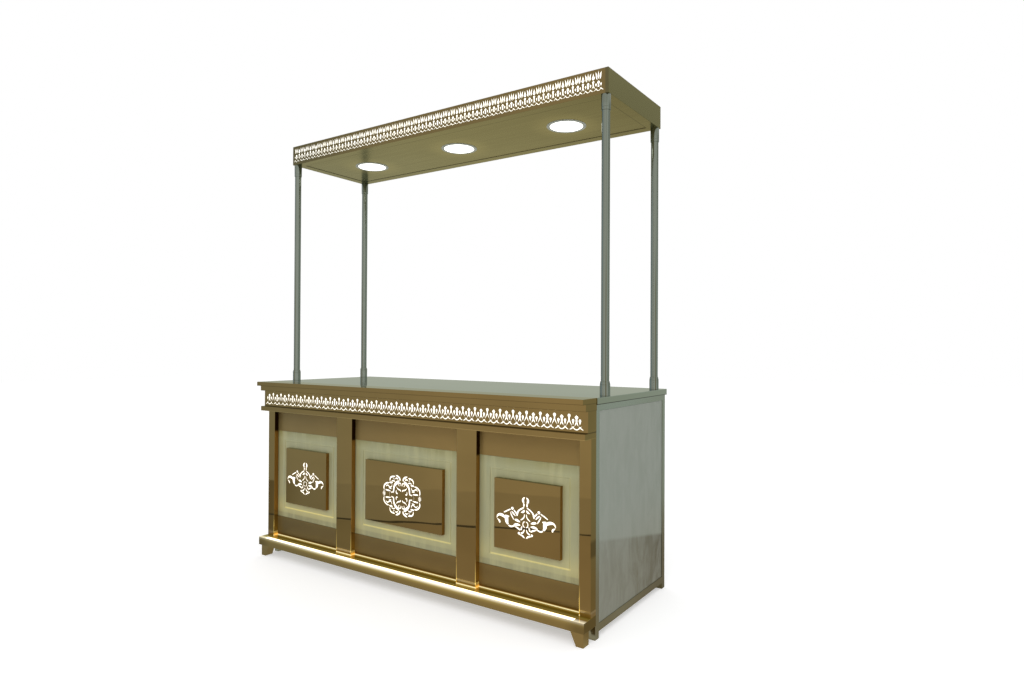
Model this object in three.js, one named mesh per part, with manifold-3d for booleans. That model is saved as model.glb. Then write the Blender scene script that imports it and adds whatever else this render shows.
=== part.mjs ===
// A lit buffet counter: a stainless steel cabinet with a gilt panelled front,
// and a light canopy carried over its worktop by four round posts.
// Millimetres, +Z up, +X to the right of a guest who stands in front, and the front faces -Y.
// The origin is on the floor under the middle of the counter.
import * as THREE from 'three';
import { mergeVertices } from 'three/addons/utils/BufferGeometryUtils.js';
import Module from 'manifold-3d';

const wasm = await Module();
wasm.setup();

// Driving dimensions of the cabinet
const counterHeight = 900;
const frameLength = 1900;
const frameDepth = 680;
const tubeSide = 30;
const tubeWall = 2;
const footPlate = 3;
const lowerRailHeight = 26;
const worktopSheet = 2;
const worktopBoard = 18;
const worktopSkirt = 26;
const worktopSideOverhang = 8;
const worktopEndOverhang = 2;
const sidePanelThickness = 12;
const sidePanelRecess = 2;
const floorThickness = 16;
const floorBearing = 13;

// Driving dimensions of the sliding doors on the service side
const doorThickness = 8;
const doorOverlap = 40;
const doorSideGap = 0.5;
const doorFootGap = 0.3;
const doorHeadGap = 6;
const doorPullLength = 120;
const doorPullWidth = 32;
const doorPullDepth = 5;
const doorPullInset = 50;
const trackWall = 2;
const trackRib = 4;
const trackFloor = 2;
const lowerTrackHeight = 10;
const upperTrackHeight = 20;

// Driving dimensions of the front, where a reach is a distance in front of the frame
const clearance = 0.3;
const overrun = 5;
const giltSheet = 1.5;
const giltEndOverhang = 2;
const corniceEndOverhang = 5;
const plinthEndOverhang = 3;
const boardThickness = 9;
const boardSideGap = 2;
const boardHeadGap = 1;
const creamThickness = 4;
const creamLap = 6;
const railReach = 16;
const pilasterReach = 40;
const friezeReach = 66;
const stepReach = 88.5;
const corniceReach = 111;
const plinthReach = 94;
const footReach = 83;
const capHeight = 20.5;
const stepHeight = 26;
const friezeHeight = 80.5;
const ledgeHeight = 23;
const upperRailHeight = 107;
const lowerFrontRailHeight = 100.5;
const plinthHeight = 40;
const plinthFootHeight = 56;
const corniceReturn = 28;
const endPilasterWidth = 49;
const middlePilasterWidth = 104;
const centreBayWidth = 638;

// Driving dimensions of the raised boxes and the routed groove around them
const boxHeadMargin = 83;
const sideBoxMargin = 86;
const centreBoxMargin = 85;
const boxDepth = 19;
const grooveOffset = 33;
const grooveWidth = 5;
const grooveDepth = 2;
const opalThickness = 3;

// Driving dimensions of the plinth light and the two plinth feet
const stripSlotWidth = 22;
const stripSlotEndInset = 47;
const stripSlotFrontInset = 3;
const stripHeight = 12;
const stripRecess = 0.5;
const footTopWidth = 57;
const footBottomWidth = 31;
const footDepth = 43;
const footEndInset = 8;

// Driving dimensions of the posts and their sockets
const postLength = 1170;
const postDiameter = 33;
const postWall = 1.5;
const postInset = 19.5;
const lowerSocketDiameter = 41;
const lowerSocketHeight = 57;
const lowerSocketTaper = 14;
const upperSocketDiameter = 39;
const upperSocketLipDiameter = 37.5;
const upperSocketHeight = 62;
const socketLip = 35;

// Driving dimensions of the canopy and its downlights
const canopyHeight = 99;
const canopyEndInset = 2;
const canopyFrontSetback = 97;
const canopyRearSetback = 57;
const soffitBorder = 50;
const soffitLap = 10;
const soffitSheet = 2;
const downlightEndInset = 336;
const downlightTrimDiameter = 177;
const downlightLensDiameter = 146;
const downlightHoleDiameter = 152;
const downlightCanDiameter = 148;
const downlightTrimHeight = 3;
const downlightLensRecess = 1;
const downlightCanHeight = 45;

// Driving dimensions of the cut ornament
const friezePeriod = 62.6;
const friezeEndMargin = 43.7;
const friezeFootMargin = 9;
const friezeOrnamentHeight = 60;
const fasciaPeriod = 45.6;
const fasciaEndMargin = 36;
const fasciaFootMargin = 14;
const fasciaOrnamentHeight = 78;
const crestSideMargin = 15;
const crestHeadMargin = 59;
const medallionSideMargin = 115.5;
const medallionHeadMargin = 47;

// Driving dimensions of the power box and its rocker switch
const powerBoxSize = { across: 50, deep: 110, high: 90 };
const powerBoxTopGap = 60;
const powerBoxRearGap = 60;
const rockerLength = 19;
const rockerWidth = 14;
const rockerFace = 3;
const rockerHollow = 1.4;
const rockerRoot = 4;
const rockerRootWidth = 6;
const rockerShoulder = 1;
const rockerTilt = 10;
const rockerEndGap = 1;
const rockerFootGap = 2;

// Numbers of sides on round pieces
const postSides = 20;
const socketSides = 20;
const downlightSides = 24;

// Heights and planes that follow from the driving dimensions
const frameHeight = counterHeight - worktopSheet - worktopBoard;
const overallDepth = corniceReach + frameDepth + worktopEndOverhang;
const frameFront = corniceReach - overallDepth / 2;
const frameRear = frameFront + frameDepth;
const frameSide = frameLength / 2;
const giltSide = frameSide + giltEndOverhang;
const corniceSide = frameSide + corniceEndOverhang;
const plinthSide = frameSide + plinthEndOverhang;
const lowerRailTop = lowerRailHeight + tubeSide;
const upperRailFoot = frameHeight - tubeSide;
const capFoot = counterHeight - capHeight;
const stepFoot = capFoot - stepHeight;
const friezeFoot = stepFoot - friezeHeight;
const ledgeFoot = friezeFoot - ledgeHeight;
const plinthTop = plinthFootHeight + plinthHeight;
const creamFoot = plinthTop + lowerFrontRailHeight;
const creamHead = ledgeFoot - upperRailHeight;
const creamMiddle = (creamFoot + creamHead) / 2;
const boxHeight = creamHead - creamFoot - 2 * boxHeadMargin;
const creamReach = boardThickness + creamThickness;
const boxReach = creamReach + boxDepth;
const sideBayWidth = giltSide - endPilasterWidth - middlePilasterWidth - centreBayWidth / 2;
const sideBayMiddle = centreBayWidth / 2 + middlePilasterWidth + sideBayWidth / 2;
const sideBoxWidth = sideBayWidth - 2 * sideBoxMargin;
const centreBoxWidth = centreBayWidth - 2 * centreBoxMargin;
const crestWidth = sideBoxWidth - 2 * crestSideMargin;
const crestHeight = boxHeight - 2 * crestHeadMargin;
const medallionWidth = centreBoxWidth - 2 * medallionSideMargin;
const medallionHeight = boxHeight - 2 * medallionHeadMargin;
const canopyFront = frameFront + canopyFrontSetback;
const canopyRear = frameRear - canopyRearSetback;
const canopySide = frameSide - canopyEndInset;
const canopyUnderside = counterHeight + postLength;
const canopyTop = canopyUnderside + canopyHeight;
const canopyMiddle = (canopyFront + canopyRear) / 2;

// Materials
const finish = (color, roughness, metalness) =>
  new THREE.MeshStandardMaterial({ color, roughness, metalness });
const giltMirror = finish(0x7d6840, 0.12, 1);
const giltSatin = finish(0x85794f, 0.35, 1);
const stainless = finish(0x8a9286, 0.25, 1);
const worktopSteel = finish(0xa3ad9c, 0.15, 1);
const greyStone = finish(0x8a8f84, 0.25, 0);
const creamGloss = finish(0xaaa682, 0.2, 0);
const opal = finish(0xfff4d8, 0.5, 0);
const paleBoard = finish(0xb9b4a4, 0.7, 0);
const aluminium = finish(0xa9abaa, 0.4, 1);
const whitePlastic = finish(0xd5d8d6, 0.4, 0);
const blackPlastic = finish(0x1c1c1c, 0.5, 0);

// A group that collects the named pieces
const counter = new THREE.Group();
function addPiece(name, geometry, material, at = [0, 0, 0]) {
  const mesh = new THREE.Mesh(geometry, material);
  mesh.name = name;
  mesh.position.set(...at);
  counter.add(mesh);
  return mesh;
}

// A closed geometry as a solid for cutting and joining
function solid(geometry) {
  const plain = geometry.clone();
  plain.deleteAttribute('normal');
  plain.deleteAttribute('uv');
  const merged = mergeVertices(plain);
  const vertProperties = new Float32Array(merged.attributes.position.array);
  const triVerts = new Uint32Array(merged.index.array);
  return new wasm.Manifold(new wasm.Mesh({ numProp: 3, vertProperties, triVerts }));
}

// A cut or joined solid as a geometry
function geometryOf(body) {
  const mesh = body.getMesh();
  const geometry = new THREE.BufferGeometry();
  geometry.setAttribute('position', new THREE.BufferAttribute(mesh.vertProperties, 3));
  geometry.setIndex(new THREE.BufferAttribute(mesh.triVerts, 1));
  geometry.computeVertexNormals();
  return geometry;
}

// A box between two values on each axis
function block([x0, x1], [y0, y1], [z0, z1]) {
  const box = new THREE.BoxGeometry(x1 - x0, y1 - y0, z1 - z0);
  return box.translate((x0 + x1) / 2, (y0 + y1) / 2, (z0 + z1) / 2);
}

// A closed outline as a shape, with closed outlines as its holes
function outlineShape(points, holes = []) {
  const shape = new THREE.Shape(points.map(([u, v]) => new THREE.Vector2(u, v)));
  shape.holes = holes.map((hole) => new THREE.Path(hole.map(([u, v]) => new THREE.Vector2(u, v))));
  return shape;
}

// An outline of [y, z] points, drawn out along X between two values
function alongX(points, [x0, x1]) {
  const geometry = new THREE.ExtrudeGeometry(outlineShape(points), { depth: x1 - x0, bevelEnabled: false });
  geometry.applyMatrix4(new THREE.Matrix4().set(0, 0, 1, 0, 1, 0, 0, 0, 0, 1, 0, 0, 0, 0, 0, 1));
  return geometry.translate(x0, 0, 0);
}

// An outline of [x, z] points with holes, drawn out along Y between two values
function alongY(points, [y0, y1], holes = []) {
  const geometry = new THREE.ExtrudeGeometry(outlineShape(points, holes), {
    depth: y1 - y0,
    bevelEnabled: false,
  });
  return geometry.rotateX(Math.PI / 2).translate(0, y1, 0);
}

// An outline of [x, y] points, drawn out along Z between two values
function alongZ(points, [z0, z1]) {
  const geometry = new THREE.ExtrudeGeometry(outlineShape(points), { depth: z1 - z0, bevelEnabled: false });
  return geometry.translate(0, 0, z0);
}

// The four corners of a rectangle between two values on each axis
const rectangle = ([u0, u1], [v0, v1]) => [[u0, v0], [u1, v0], [u1, v1], [u0, v1]];

// A ring turned about Z from [radius, height] points that close on themselves
function turnedRing(points, sides) {
  const profile = [...points, points[0]].map(([radius, height]) => new THREE.Vector2(radius, height));
  return new THREE.LatheGeometry(profile, sides).rotateX(Math.PI / 2);
}

// A solid turned about Z from [radius, height] points that start and end on the axis
function turnedSolid(points, sides) {
  const profile = points.map(([radius, height]) => new THREE.Vector2(radius, height));
  return new THREE.LatheGeometry(profile, sides).rotateX(Math.PI / 2);
}

// Cabinet frame: a welded ladder of box tube on each side, open inside from the top
function sideFrame(side) {
  const inner = frameSide - tubeSide;
  const across = side > 0 ? [inner, frameSide] : [-frameSide, -inner];
  const bore = [across[0] + tubeWall, across[1] - tubeWall];
  const posts = [
    [frameFront, frameFront + tubeSide],
    [frameRear - tubeSide, frameRear],
  ];
  const rails = [
    [lowerRailHeight, lowerRailTop],
    [upperRailFoot, frameHeight],
  ];
  const between = [frameFront + tubeSide - tubeWall, frameRear - tubeSide + tubeWall];
  let body = solid(block(across, posts[0], [0, frameHeight]));
  body = body.add(solid(block(across, posts[1], [0, frameHeight])));
  for (const rail of rails) {
    body = body.add(solid(block(across, between, rail)));
  }
  for (const [y0, y1] of posts) {
    const shaft = block(bore, [y0 + tubeWall, y1 - tubeWall], [footPlate, frameHeight + overrun]);
    body = body.subtract(solid(shaft));
  }
  const passage = [between[0] - tubeWall, between[1] + tubeWall];
  for (const [z0, z1] of rails) {
    body = body.subtract(solid(block(bore, passage, [z0 + tubeWall, z1 - tubeWall])));
  }
  return geometryOf(body);
}
addPiece('side_frame_left', sideFrame(-1), stainless);
addPiece('side_frame_right', sideFrame(1), stainless);

// Cross rails: box tube, open at both ends, between the side frames
function crossRail(y0, z0) {
  const outer = rectangle([y0, y0 + tubeSide], [z0, z0 + tubeSide]);
  const inner = rectangle([y0 + tubeWall, y0 + tubeSide - tubeWall], [z0 + tubeWall, z0 + tubeSide - tubeWall]);
  const reach = frameSide - tubeSide;
  const body = solid(alongX(outer, [-reach, reach]));
  return geometryOf(body.subtract(solid(alongX(inner, [-reach - overrun, reach + overrun]))));
}
addPiece('front_rail_lower', crossRail(frameFront, lowerRailHeight), stainless);
addPiece('front_rail_upper', crossRail(frameFront, upperRailFoot), stainless);
addPiece('rear_rail_lower', crossRail(frameRear - tubeSide, lowerRailHeight), stainless);
addPiece('rear_rail_upper', crossRail(frameRear - tubeSide, upperRailFoot), stainless);

// Side panels, seated on the lower rails
const sidePanelFace = frameSide - sidePanelRecess;
const sidePanelDepth = [frameFront + tubeSide + clearance, frameRear - tubeSide - clearance];
for (const [name, side] of [['side_panel_left', -1], ['side_panel_right', 1]]) {
  const faces = [side * sidePanelFace, side * (sidePanelFace - sidePanelThickness)].sort((a, b) => a - b);
  addPiece(name, block(faces, sidePanelDepth, [lowerRailTop, upperRailFoot - clearance]), greyStone);
}

// Cabinet floor, borne by the lower side rails
const floorSide = frameSide - tubeSide + floorBearing;
addPiece(
  'cabinet_floor',
  block([-floorSide, floorSide], sidePanelDepth, [lowerRailTop, lowerRailTop + floorThickness]),
  paleBoard,
);

// Worktop: a folded steel tray turned down over a board
const worktopSide = frameSide + worktopSideOverhang;
const worktopFront = frameFront - worktopEndOverhang;
const worktopRear = frameRear + worktopEndOverhang;
function worktopTray() {
  const inside = worktopSide - worktopSheet;
  const tray = solid(
    block([-worktopSide, worktopSide], [worktopFront, worktopRear], [counterHeight - worktopSkirt, counterHeight]),
  );
  const hollow = solid(
    block(
      [-inside, inside],
      [worktopFront + worktopSheet, worktopRear - worktopSheet],
      [counterHeight - worktopSkirt - overrun, counterHeight - worktopSheet],
    ),
  );
  return geometryOf(tray.subtract(hollow));
}
const worktopBoardSide = worktopSide - worktopSheet - clearance;
addPiece('worktop', worktopTray(), worktopSteel);
addPiece(
  'worktop_board',
  block([-worktopBoardSide, worktopBoardSide], [frameFront, frameRear], [frameHeight, frameHeight + worktopBoard]),
  paleBoard,
);

// Door tracks: a floor with two side walls and a rib between the two grooves
const grooveSpan = doorThickness + 2 * doorSideGap;
const trackWidth = 2 * trackWall + 2 * grooveSpan + trackRib;
const trackFront = frameRear - tubeSide / 2 - trackWidth / 2;
const trackSide = frameSide - tubeSide;
function doorTrack(floorLevel, height, upward) {
  const floorTop = floorLevel + upward * trackFloor;
  const tip = floorLevel + upward * height;
  const levels = [
    [0, tip],
    [trackWall, tip],
    [trackWall, floorTop],
    [trackWall + grooveSpan, floorTop],
    [trackWall + grooveSpan, tip],
    [trackWall + grooveSpan + trackRib, tip],
    [trackWall + grooveSpan + trackRib, floorTop],
    [trackWidth - trackWall, floorTop],
    [trackWidth - trackWall, tip],
    [trackWidth, tip],
    [trackWidth, floorLevel],
    [0, floorLevel],
  ];
  const outline = levels.map(([y, z]) => [trackFront + y, z]);
  return alongX(outline, [-trackSide, trackSide]);
}
addPiece('door_track_lower', doorTrack(lowerRailTop, lowerTrackHeight, 1), aluminium);
addPiece('door_track_upper', doorTrack(upperRailFoot, upperTrackHeight, -1), aluminium);

// Sliding doors: the left one runs in the rear groove, the right one in the front groove
const doorWidth = trackSide + doorOverlap / 2;
const doorFoot = lowerRailTop + trackFloor + doorFootGap;
const doorHead = upperRailFoot - trackFloor - doorHeadGap;
function slidingDoor(side, grooveFront) {
  const near = doorWidth - trackSide;
  const across = side < 0 ? [-trackSide, near] : [-near, trackSide];
  const face = grooveFront + doorSideGap + doorThickness;
  const pullEdge = side < 0 ? across[0] + doorPullInset : across[1] - doorPullInset - doorPullWidth;
  const middle = (doorFoot + doorHead) / 2;
  const leaf = solid(block(across, [face - doorThickness, face], [doorFoot, doorHead]));
  const pull = block(
    [pullEdge, pullEdge + doorPullWidth],
    [face - doorPullDepth, face + overrun],
    [middle - doorPullLength / 2, middle + doorPullLength / 2],
  );
  return geometryOf(leaf.subtract(solid(pull)));
}
const frontGroove = trackFront + trackWall;
const rearGroove = frontGroove + grooveSpan + trackRib;
addPiece('sliding_door_left', slidingDoor(-1, rearGroove), greyStone);
addPiece('sliding_door_right', slidingDoor(1, frontGroove), greyStone);

// Front board, standing on the plinth and carrying the gilt pieces
const boardSide = giltSide - boardSideGap;
const boardHead = counterHeight - worktopSkirt - boardHeadGap;
addPiece(
  'front_board',
  block([-boardSide, boardSide], [frameFront - boardThickness, frameFront], [plinthTop, boardHead]),
  paleBoard,
);

// A gilt sheet folded to an outline, with its ends closed: the outer form less the room inside
function foldedSheet(outline, hollow, side) {
  const inside = side - giltSheet;
  const body = solid(alongX(outline, [-side, side]));
  return geometryOf(body.subtract(solid(alongX(hollow, [-inside, inside]))));
}

// Cornice: a cap over a step, open at the back and returned under the step
const corniceBack = frameFront - worktopEndOverhang - clearance;
const capFront = frameFront - corniceReach;
const stepFront = frameFront - stepReach;
const corniceOutline = [
  [corniceBack, stepFoot],
  [corniceBack, counterHeight],
  [capFront, counterHeight],
  [capFront, capFoot],
  [stepFront, capFoot],
  [stepFront, stepFoot],
];
const corniceHollow = [
  [stepFront + corniceReturn, stepFoot - overrun],
  [corniceBack + overrun, stepFoot - overrun],
  [corniceBack + overrun, counterHeight - giltSheet],
  [capFront + giltSheet, counterHeight - giltSheet],
  [capFront + giltSheet, capFoot + giltSheet],
  [stepFront + giltSheet, capFoot + giltSheet],
  [stepFront + giltSheet, stepFoot + giltSheet],
  [stepFront + corniceReturn, stepFoot + giltSheet],
];
addPiece('cornice', foldedSheet(corniceOutline, corniceHollow, corniceSide), giltMirror);

// Ledge under the frieze, with its shelves cut back to the front board
const ledgeBack = frameFront - boardThickness - clearance;
const ledgeHollow = [
  [stepFront + giltSheet, ledgeFoot + giltSheet],
  [ledgeBack, ledgeFoot + giltSheet],
  [ledgeBack, ledgeFoot - overrun],
  [frameFront + overrun, ledgeFoot - overrun],
  [frameFront + overrun, friezeFoot + overrun],
  [ledgeBack, friezeFoot + overrun],
  [ledgeBack, friezeFoot - giltSheet],
  [stepFront + giltSheet, friezeFoot - giltSheet],
];
const ledgeOutline = rectangle([stepFront, frameFront], [ledgeFoot, friezeFoot]);
addPiece('frieze_ledge', foldedSheet(ledgeOutline, ledgeHollow, giltSide), giltMirror);

// Ornament outlines, in shares of a period or of the ornament's width and height.
// Each list is one opening that a cutter leaves in the sheet.
const spadeShares = [
  [-0.12, 0.27],
  [0, 0.38],
  [0.12, 0.27],
  [0.06, 0.69],
  [0.125, 0.79],
  [0, 0.93],
  [-0.125, 0.79],
  [-0.06, 0.69],
];
const dropShares = [
  [0.228, 0.32],
  [0.313, 0.63],
  [0.228, 0.7],
  [0.143, 0.63],
];
const scallopShares = [
  [-0.47, 0],
  [-0.233, 0.14],
  [0, 0],
  [0.233, 0.14],
  [0.47, 0],
  [0.233, 0.21],
  [0, 0.07],
  [-0.233, 0.21],
];
const roundHeadShares = [
  [-0.18, 0.29],
  [0, 0.55],
  [0.18, 0.29],
  [0.05, 0.75],
  [0.107, 0.88],
  [0.05, 1],
  [-0.05, 1],
  [-0.107, 0.88],
  [-0.05, 0.75],
];
const budShares = [
  [-0.1, 0.2],
  [0.1, 0.2],
  [0.066, 0.32],
  [0.125, 0.44],
  [0, 0.52],
  [-0.125, 0.44],
  [-0.066, 0.32],
];
const lowDropShares = [
  [0.237, 0.22],
  [0.316, 0.345],
  [0.237, 0.4],
  [0.158, 0.345],
];
const lowScallopShares = [
  [-0.47, 0],
  [-0.226, 0.095],
  [0, 0],
  [0.226, 0.095],
  [0.47, 0],
  [0.226, 0.132],
  [0, 0.036],
  [-0.226, 0.132],
];
const tulipShares = [
  [-0.13, 0.57],
  [0.13, 0.57],
  [0.22, 0.745],
  [0.29, 0.967],
  [0.1, 0.8],
  [0, 1],
  [-0.1, 0.8],
  [-0.29, 0.967],
  [-0.22, 0.745],
];
const flameShares = [
  [0, 0.58],
  [0.147, 0.65],
  [0, 0.94],
  [-0.147, 0.65],
];
const forkShares = [
  [-0.125, 0.16],
  [0, 0.23],
  [0.125, 0.16],
  [0.064, 0.4],
  [0.107, 0.505],
  [0, 0.55],
  [-0.107, 0.505],
  [-0.064, 0.4],
];
const place = (shares, middle, foot, width, height) =>
  shares.map(([u, v]) => [middle + u * width, foot + v * height]);
const mirrored = (shares) => shares.map(([u, v]) => [-u, v]).reverse();
const flipped = (shares) => shares.map(([u, v]) => [u, -v]).reverse();

// A border: one group of openings in each period, and another halfway to the next
const friezeRow = {
  under: [spadeShares, dropShares, mirrored(dropShares), scallopShares],
  between: [roundHeadShares],
};
const fasciaRow = {
  under: [budShares, lowDropShares, mirrored(lowDropShares), lowScallopShares, tulipShares],
  between: [forkShares, flameShares],
};
function borderOpenings({ row, side, endMargin, period, foot, height }) {
  const run = 2 * (side - endMargin);
  const gaps = Math.round(run / period);
  const step = run / gaps;
  const openings = [];
  const cut = (group, middle) => {
    for (const shares of group) {
      openings.push(place(shares, middle, foot, step, height));
    }
  };
  for (let index = 0; index <= gaps; index += 1) {
    const middle = endMargin - side + index * step;
    cut(row.under, middle);
    if (index < gaps) {
      cut(row.between, middle + step / 2);
    }
  }
  return openings;
}

// Frieze: a cut sheet with its ends folded back to the frame
const friezeFront = frameFront - friezeReach;
const friezeOpenings = borderOpenings({
  row: friezeRow,
  side: giltSide,
  endMargin: friezeEndMargin,
  period: friezePeriod,
  foot: friezeFoot + friezeFootMargin,
  height: friezeOrnamentHeight,
});
function friezePanel() {
  const face = rectangle([-giltSide, giltSide], [friezeFoot, stepFoot]);
  let body = solid(alongY(face, [friezeFront, friezeFront + giltSheet], friezeOpenings));
  for (const [x0, x1] of [[-giltSide, giltSheet - giltSide], [giltSide - giltSheet, giltSide]]) {
    body = body.add(solid(block([x0, x1], [friezeFront, frameFront], [friezeFoot, stepFoot])));
  }
  return geometryOf(body);
}
addPiece('frieze_panel', friezePanel(), giltMirror);

const friezeOpalSide = giltSide - giltSheet - clearance;
const friezeOpalFront = friezeFront + giltSheet + clearance;
addPiece(
  'frieze_opal_sheet',
  block(
    [-friezeOpalSide, friezeOpalSide],
    [friezeOpalFront, friezeOpalFront + opalThickness],
    [friezeFoot, stepFoot - clearance],
  ),
  opal,
);

// Front rails: shallow channels laid on the front board
function frontRail(z0, z1) {
  const face = frameFront - railReach;
  const back = frameFront - boardThickness;
  const outline = [
    [back, z0],
    [back, z0 + giltSheet],
    [face + giltSheet, z0 + giltSheet],
    [face + giltSheet, z1 - giltSheet],
    [back, z1 - giltSheet],
    [back, z1],
    [face, z1],
    [face, z0],
  ];
  return alongX(outline, [-boardSide, boardSide]);
}
addPiece('front_rail_gilt_lower', frontRail(plinthTop, creamFoot), giltMirror);
addPiece('front_rail_gilt_upper', frontRail(creamHead, ledgeFoot), giltMirror);

// Pilasters: channels folded back to the rails, and the end ones back to the frame
function pilaster(x0, x1, leftReach, rightReach) {
  const face = frameFront - pilasterReach;
  const outline = [
    [x0, frameFront - leftReach],
    [x0, face],
    [x1, face],
    [x1, frameFront - rightReach],
    [x1 - giltSheet, frameFront - rightReach],
    [x1 - giltSheet, face + giltSheet],
    [x0 + giltSheet, face + giltSheet],
    [x0 + giltSheet, frameFront - leftReach],
  ];
  return alongZ(outline, [plinthTop, ledgeFoot]);
}
const innerEdge = centreBayWidth / 2;
const outerEdge = innerEdge + middlePilasterWidth;
const endEdge = giltSide - endPilasterWidth;
addPiece('pilaster_1', pilaster(-giltSide, -endEdge, 0, railReach), giltMirror);
addPiece('pilaster_2', pilaster(-outerEdge, -innerEdge, railReach, railReach), giltMirror);
addPiece('pilaster_3', pilaster(innerEdge, outerEdge, railReach, railReach), giltMirror);
addPiece('pilaster_4', pilaster(endEdge, giltSide, railReach, 0), giltMirror);

// Cream panels, each with a groove routed around its raised box
const creamFront = frameFront - creamReach;
function creamPanel(width, boxWidth) {
  const half = width / 2 + creamLap;
  const panel = solid(
    block([-half, half], [creamFront, creamFront + creamThickness], [creamFoot, creamHead - clearance]),
  );
  const cut = [creamFront - overrun, creamFront + grooveDepth];
  const ring = (offset) => {
    const across = boxWidth / 2 + offset;
    const up = boxHeight / 2 + offset;
    return solid(block([-across, across], cut, [creamMiddle - up, creamMiddle + up]));
  };
  const groove = ring(grooveOffset + grooveWidth / 2).subtract(ring(grooveOffset - grooveWidth / 2));
  return geometryOf(panel.subtract(groove));
}

// Raised boxes: a cut face with its edges folded back to the cream panel
function raisedBox(width, openings) {
  const half = width / 2;
  const front = frameFront - boxReach;
  const up = boxHeight / 2;
  const outer = solid(block([-half, half], [front, creamFront], [creamMiddle - up, creamMiddle + up]));
  const inner = solid(
    block(
      [giltSheet - half, half - giltSheet],
      [front + giltSheet, creamFront + overrun],
      [creamMiddle - up + giltSheet, creamMiddle + up - giltSheet],
    ),
  );
  let body = outer.subtract(inner);
  for (const opening of openings) {
    body = body.subtract(solid(alongY(opening, [front - overrun, front + giltSheet + overrun])));
  }
  return geometryOf(body);
}
function boxOpal(width) {
  const half = width / 2 - giltSheet - clearance;
  const up = boxHeight / 2 - giltSheet - clearance;
  const front = frameFront - boxReach + giltSheet + clearance;
  return block([-half, half], [front, front + opalThickness], [creamMiddle - up, creamMiddle + up]);
}

// Crest of the side boxes, one half in shares of its width and height, mirrored about its rib
const crestHalf = [
  [[0.012, 0.87], [0.033, 0.836], [0.069, 0.922], [0.038, 0.967], [0.01, 1]],
  [[0.013, 0.8], [0.03, 0.77], [0.047, 0.8], [0.03, 0.828]],
  [
    [0.018, 0.735], [0.04, 0.705], [0.083, 0.662], [0.113, 0.63], [0.13, 0.58], [0.132, 0.524],
    [0.147, 0.524], [0.145, 0.586], [0.126, 0.653], [0.09, 0.69], [0.047, 0.733], [0.02, 0.755],
  ],
  [[0.012, 0.6], [0.04, 0.607], [0.078, 0.611], [0.048, 0.632], [0.028, 0.661], [0.012, 0.703]],
  [
    [0.013, 0.515], [0.04, 0.465], [0.078, 0.42], [0.09, 0.437], [0.05, 0.495], [0.024, 0.535],
    [0.013, 0.575],
  ],
  [
    [0.162, 0.574], [0.194, 0.623], [0.234, 0.632], [0.263, 0.623], [0.374, 0.54], [0.378, 0.567],
    [0.263, 0.65], [0.234, 0.7], [0.194, 0.653],
  ],
  [
    [0.362, 0.373], [0.4, 0.439], [0.446, 0.463], [0.477, 0.448], [0.496, 0.392], [0.5, 0.432],
    [0.484, 0.483], [0.446, 0.518], [0.4, 0.517], [0.37, 0.476], [0.358, 0.394],
  ],
  [
    [0.284, 0.445], [0.295, 0.39], [0.281, 0.34], [0.288, 0.285], [0.317, 0.273], [0.342, 0.316],
    [0.349, 0.377], [0.335, 0.334], [0.309, 0.31], [0.302, 0.34], [0.313, 0.39], [0.295, 0.445],
  ],
  [[0.088, 0.345], [0.16, 0.362], [0.223, 0.393], [0.175, 0.425], [0.144, 0.417]],
  [[0.097, 0.267], [0.144, 0.255], [0.195, 0.272], [0.16, 0.308], [0.097, 0.298]],
  [
    [0.014, 0.144], [0.047, 0.095], [0.089, 0.1], [0.117, 0.075], [0.089, 0.132], [0.049, 0.129],
    [0.025, 0.163], [0.017, 0.212],
  ],
  [[0.01, 0], [0.05, 0.083], [0.012, 0.07]],
];
function crestOpenings() {
  const foot = creamMiddle - crestHeight / 2;
  const all = crestHalf.flatMap((shares) => [shares, mirrored(shares)]);
  return all.map((shares) => place(shares, 0, foot, crestWidth, crestHeight));
}

// Medallion of the middle box, one quarter in shares of its half width and half height
const medallionQuarter = [
  [
    [0.042, 0.155], [0.087, 0.17], [0.074, 0.225], [0.11, 0.265], [0.173, 0.262], [0.236, 0.198],
    [0.25, 0.123], [0.2, 0.07], [0.236, 0.03], [0.29, 0.118], [0.275, 0.225], [0.185, 0.315],
    [0.085, 0.32], [0.04, 0.235],
  ],
  [
    [0.4, 0.13], [0.43, 0.267], [0.41, 0.428], [0.346, 0.556], [0.236, 0.68], [0.127, 0.79],
    [0.09, 0.77], [0.118, 0.663], [0.042, 0.588], [0.034, 0.487], [0.1, 0.406], [0.122, 0.45],
    [0.07, 0.503], [0.076, 0.567], [0.143, 0.626], [0.253, 0.503], [0.354, 0.385], [0.388, 0.267],
  ],
  [
    [0.085, 0.83], [0.135, 0.823], [0.2, 0.866], [0.304, 0.9], [0.422, 0.84], [0.523, 0.813],
    [0.57, 0.75], [0.565, 0.578], [0.612, 0.556], [0.616, 0.77], [0.557, 0.877], [0.44, 0.92],
    [0.304, 0.984], [0.186, 0.936], [0.11, 0.877],
  ],
  [
    [0.464, 0.267], [0.502, 0.257], [0.519, 0.342], [0.57, 0.428], [0.692, 0.506], [0.823, 0.47],
    [0.9, 0.369], [0.903, 0.235], [0.831, 0.15], [0.709, 0.155], [0.603, 0.128], [0.599, 0.086],
    [0.7, 0.105], [0.848, 0.098], [0.941, 0.214], [0.941, 0.385], [0.848, 0.524], [0.692, 0.561],
    [0.549, 0.481], [0.485, 0.374],
  ],
  [[0.545, 0.267], [0.616, 0.257], [0.7, 0.31], [0.616, 0.342]],
  [[0.85, 0.011], [1, 0.011], [0.975, 0.08], [0.915, 0.12], [0.865, 0.07]],
];
function medallionOpenings() {
  const halves = medallionQuarter.flatMap((shares) => [shares, mirrored(shares)]);
  const all = halves.flatMap((shares) => [shares, flipped(shares)]);
  return all.map((shares) => place(shares, 0, creamMiddle, medallionWidth / 2, medallionHeight / 2));
}

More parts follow.
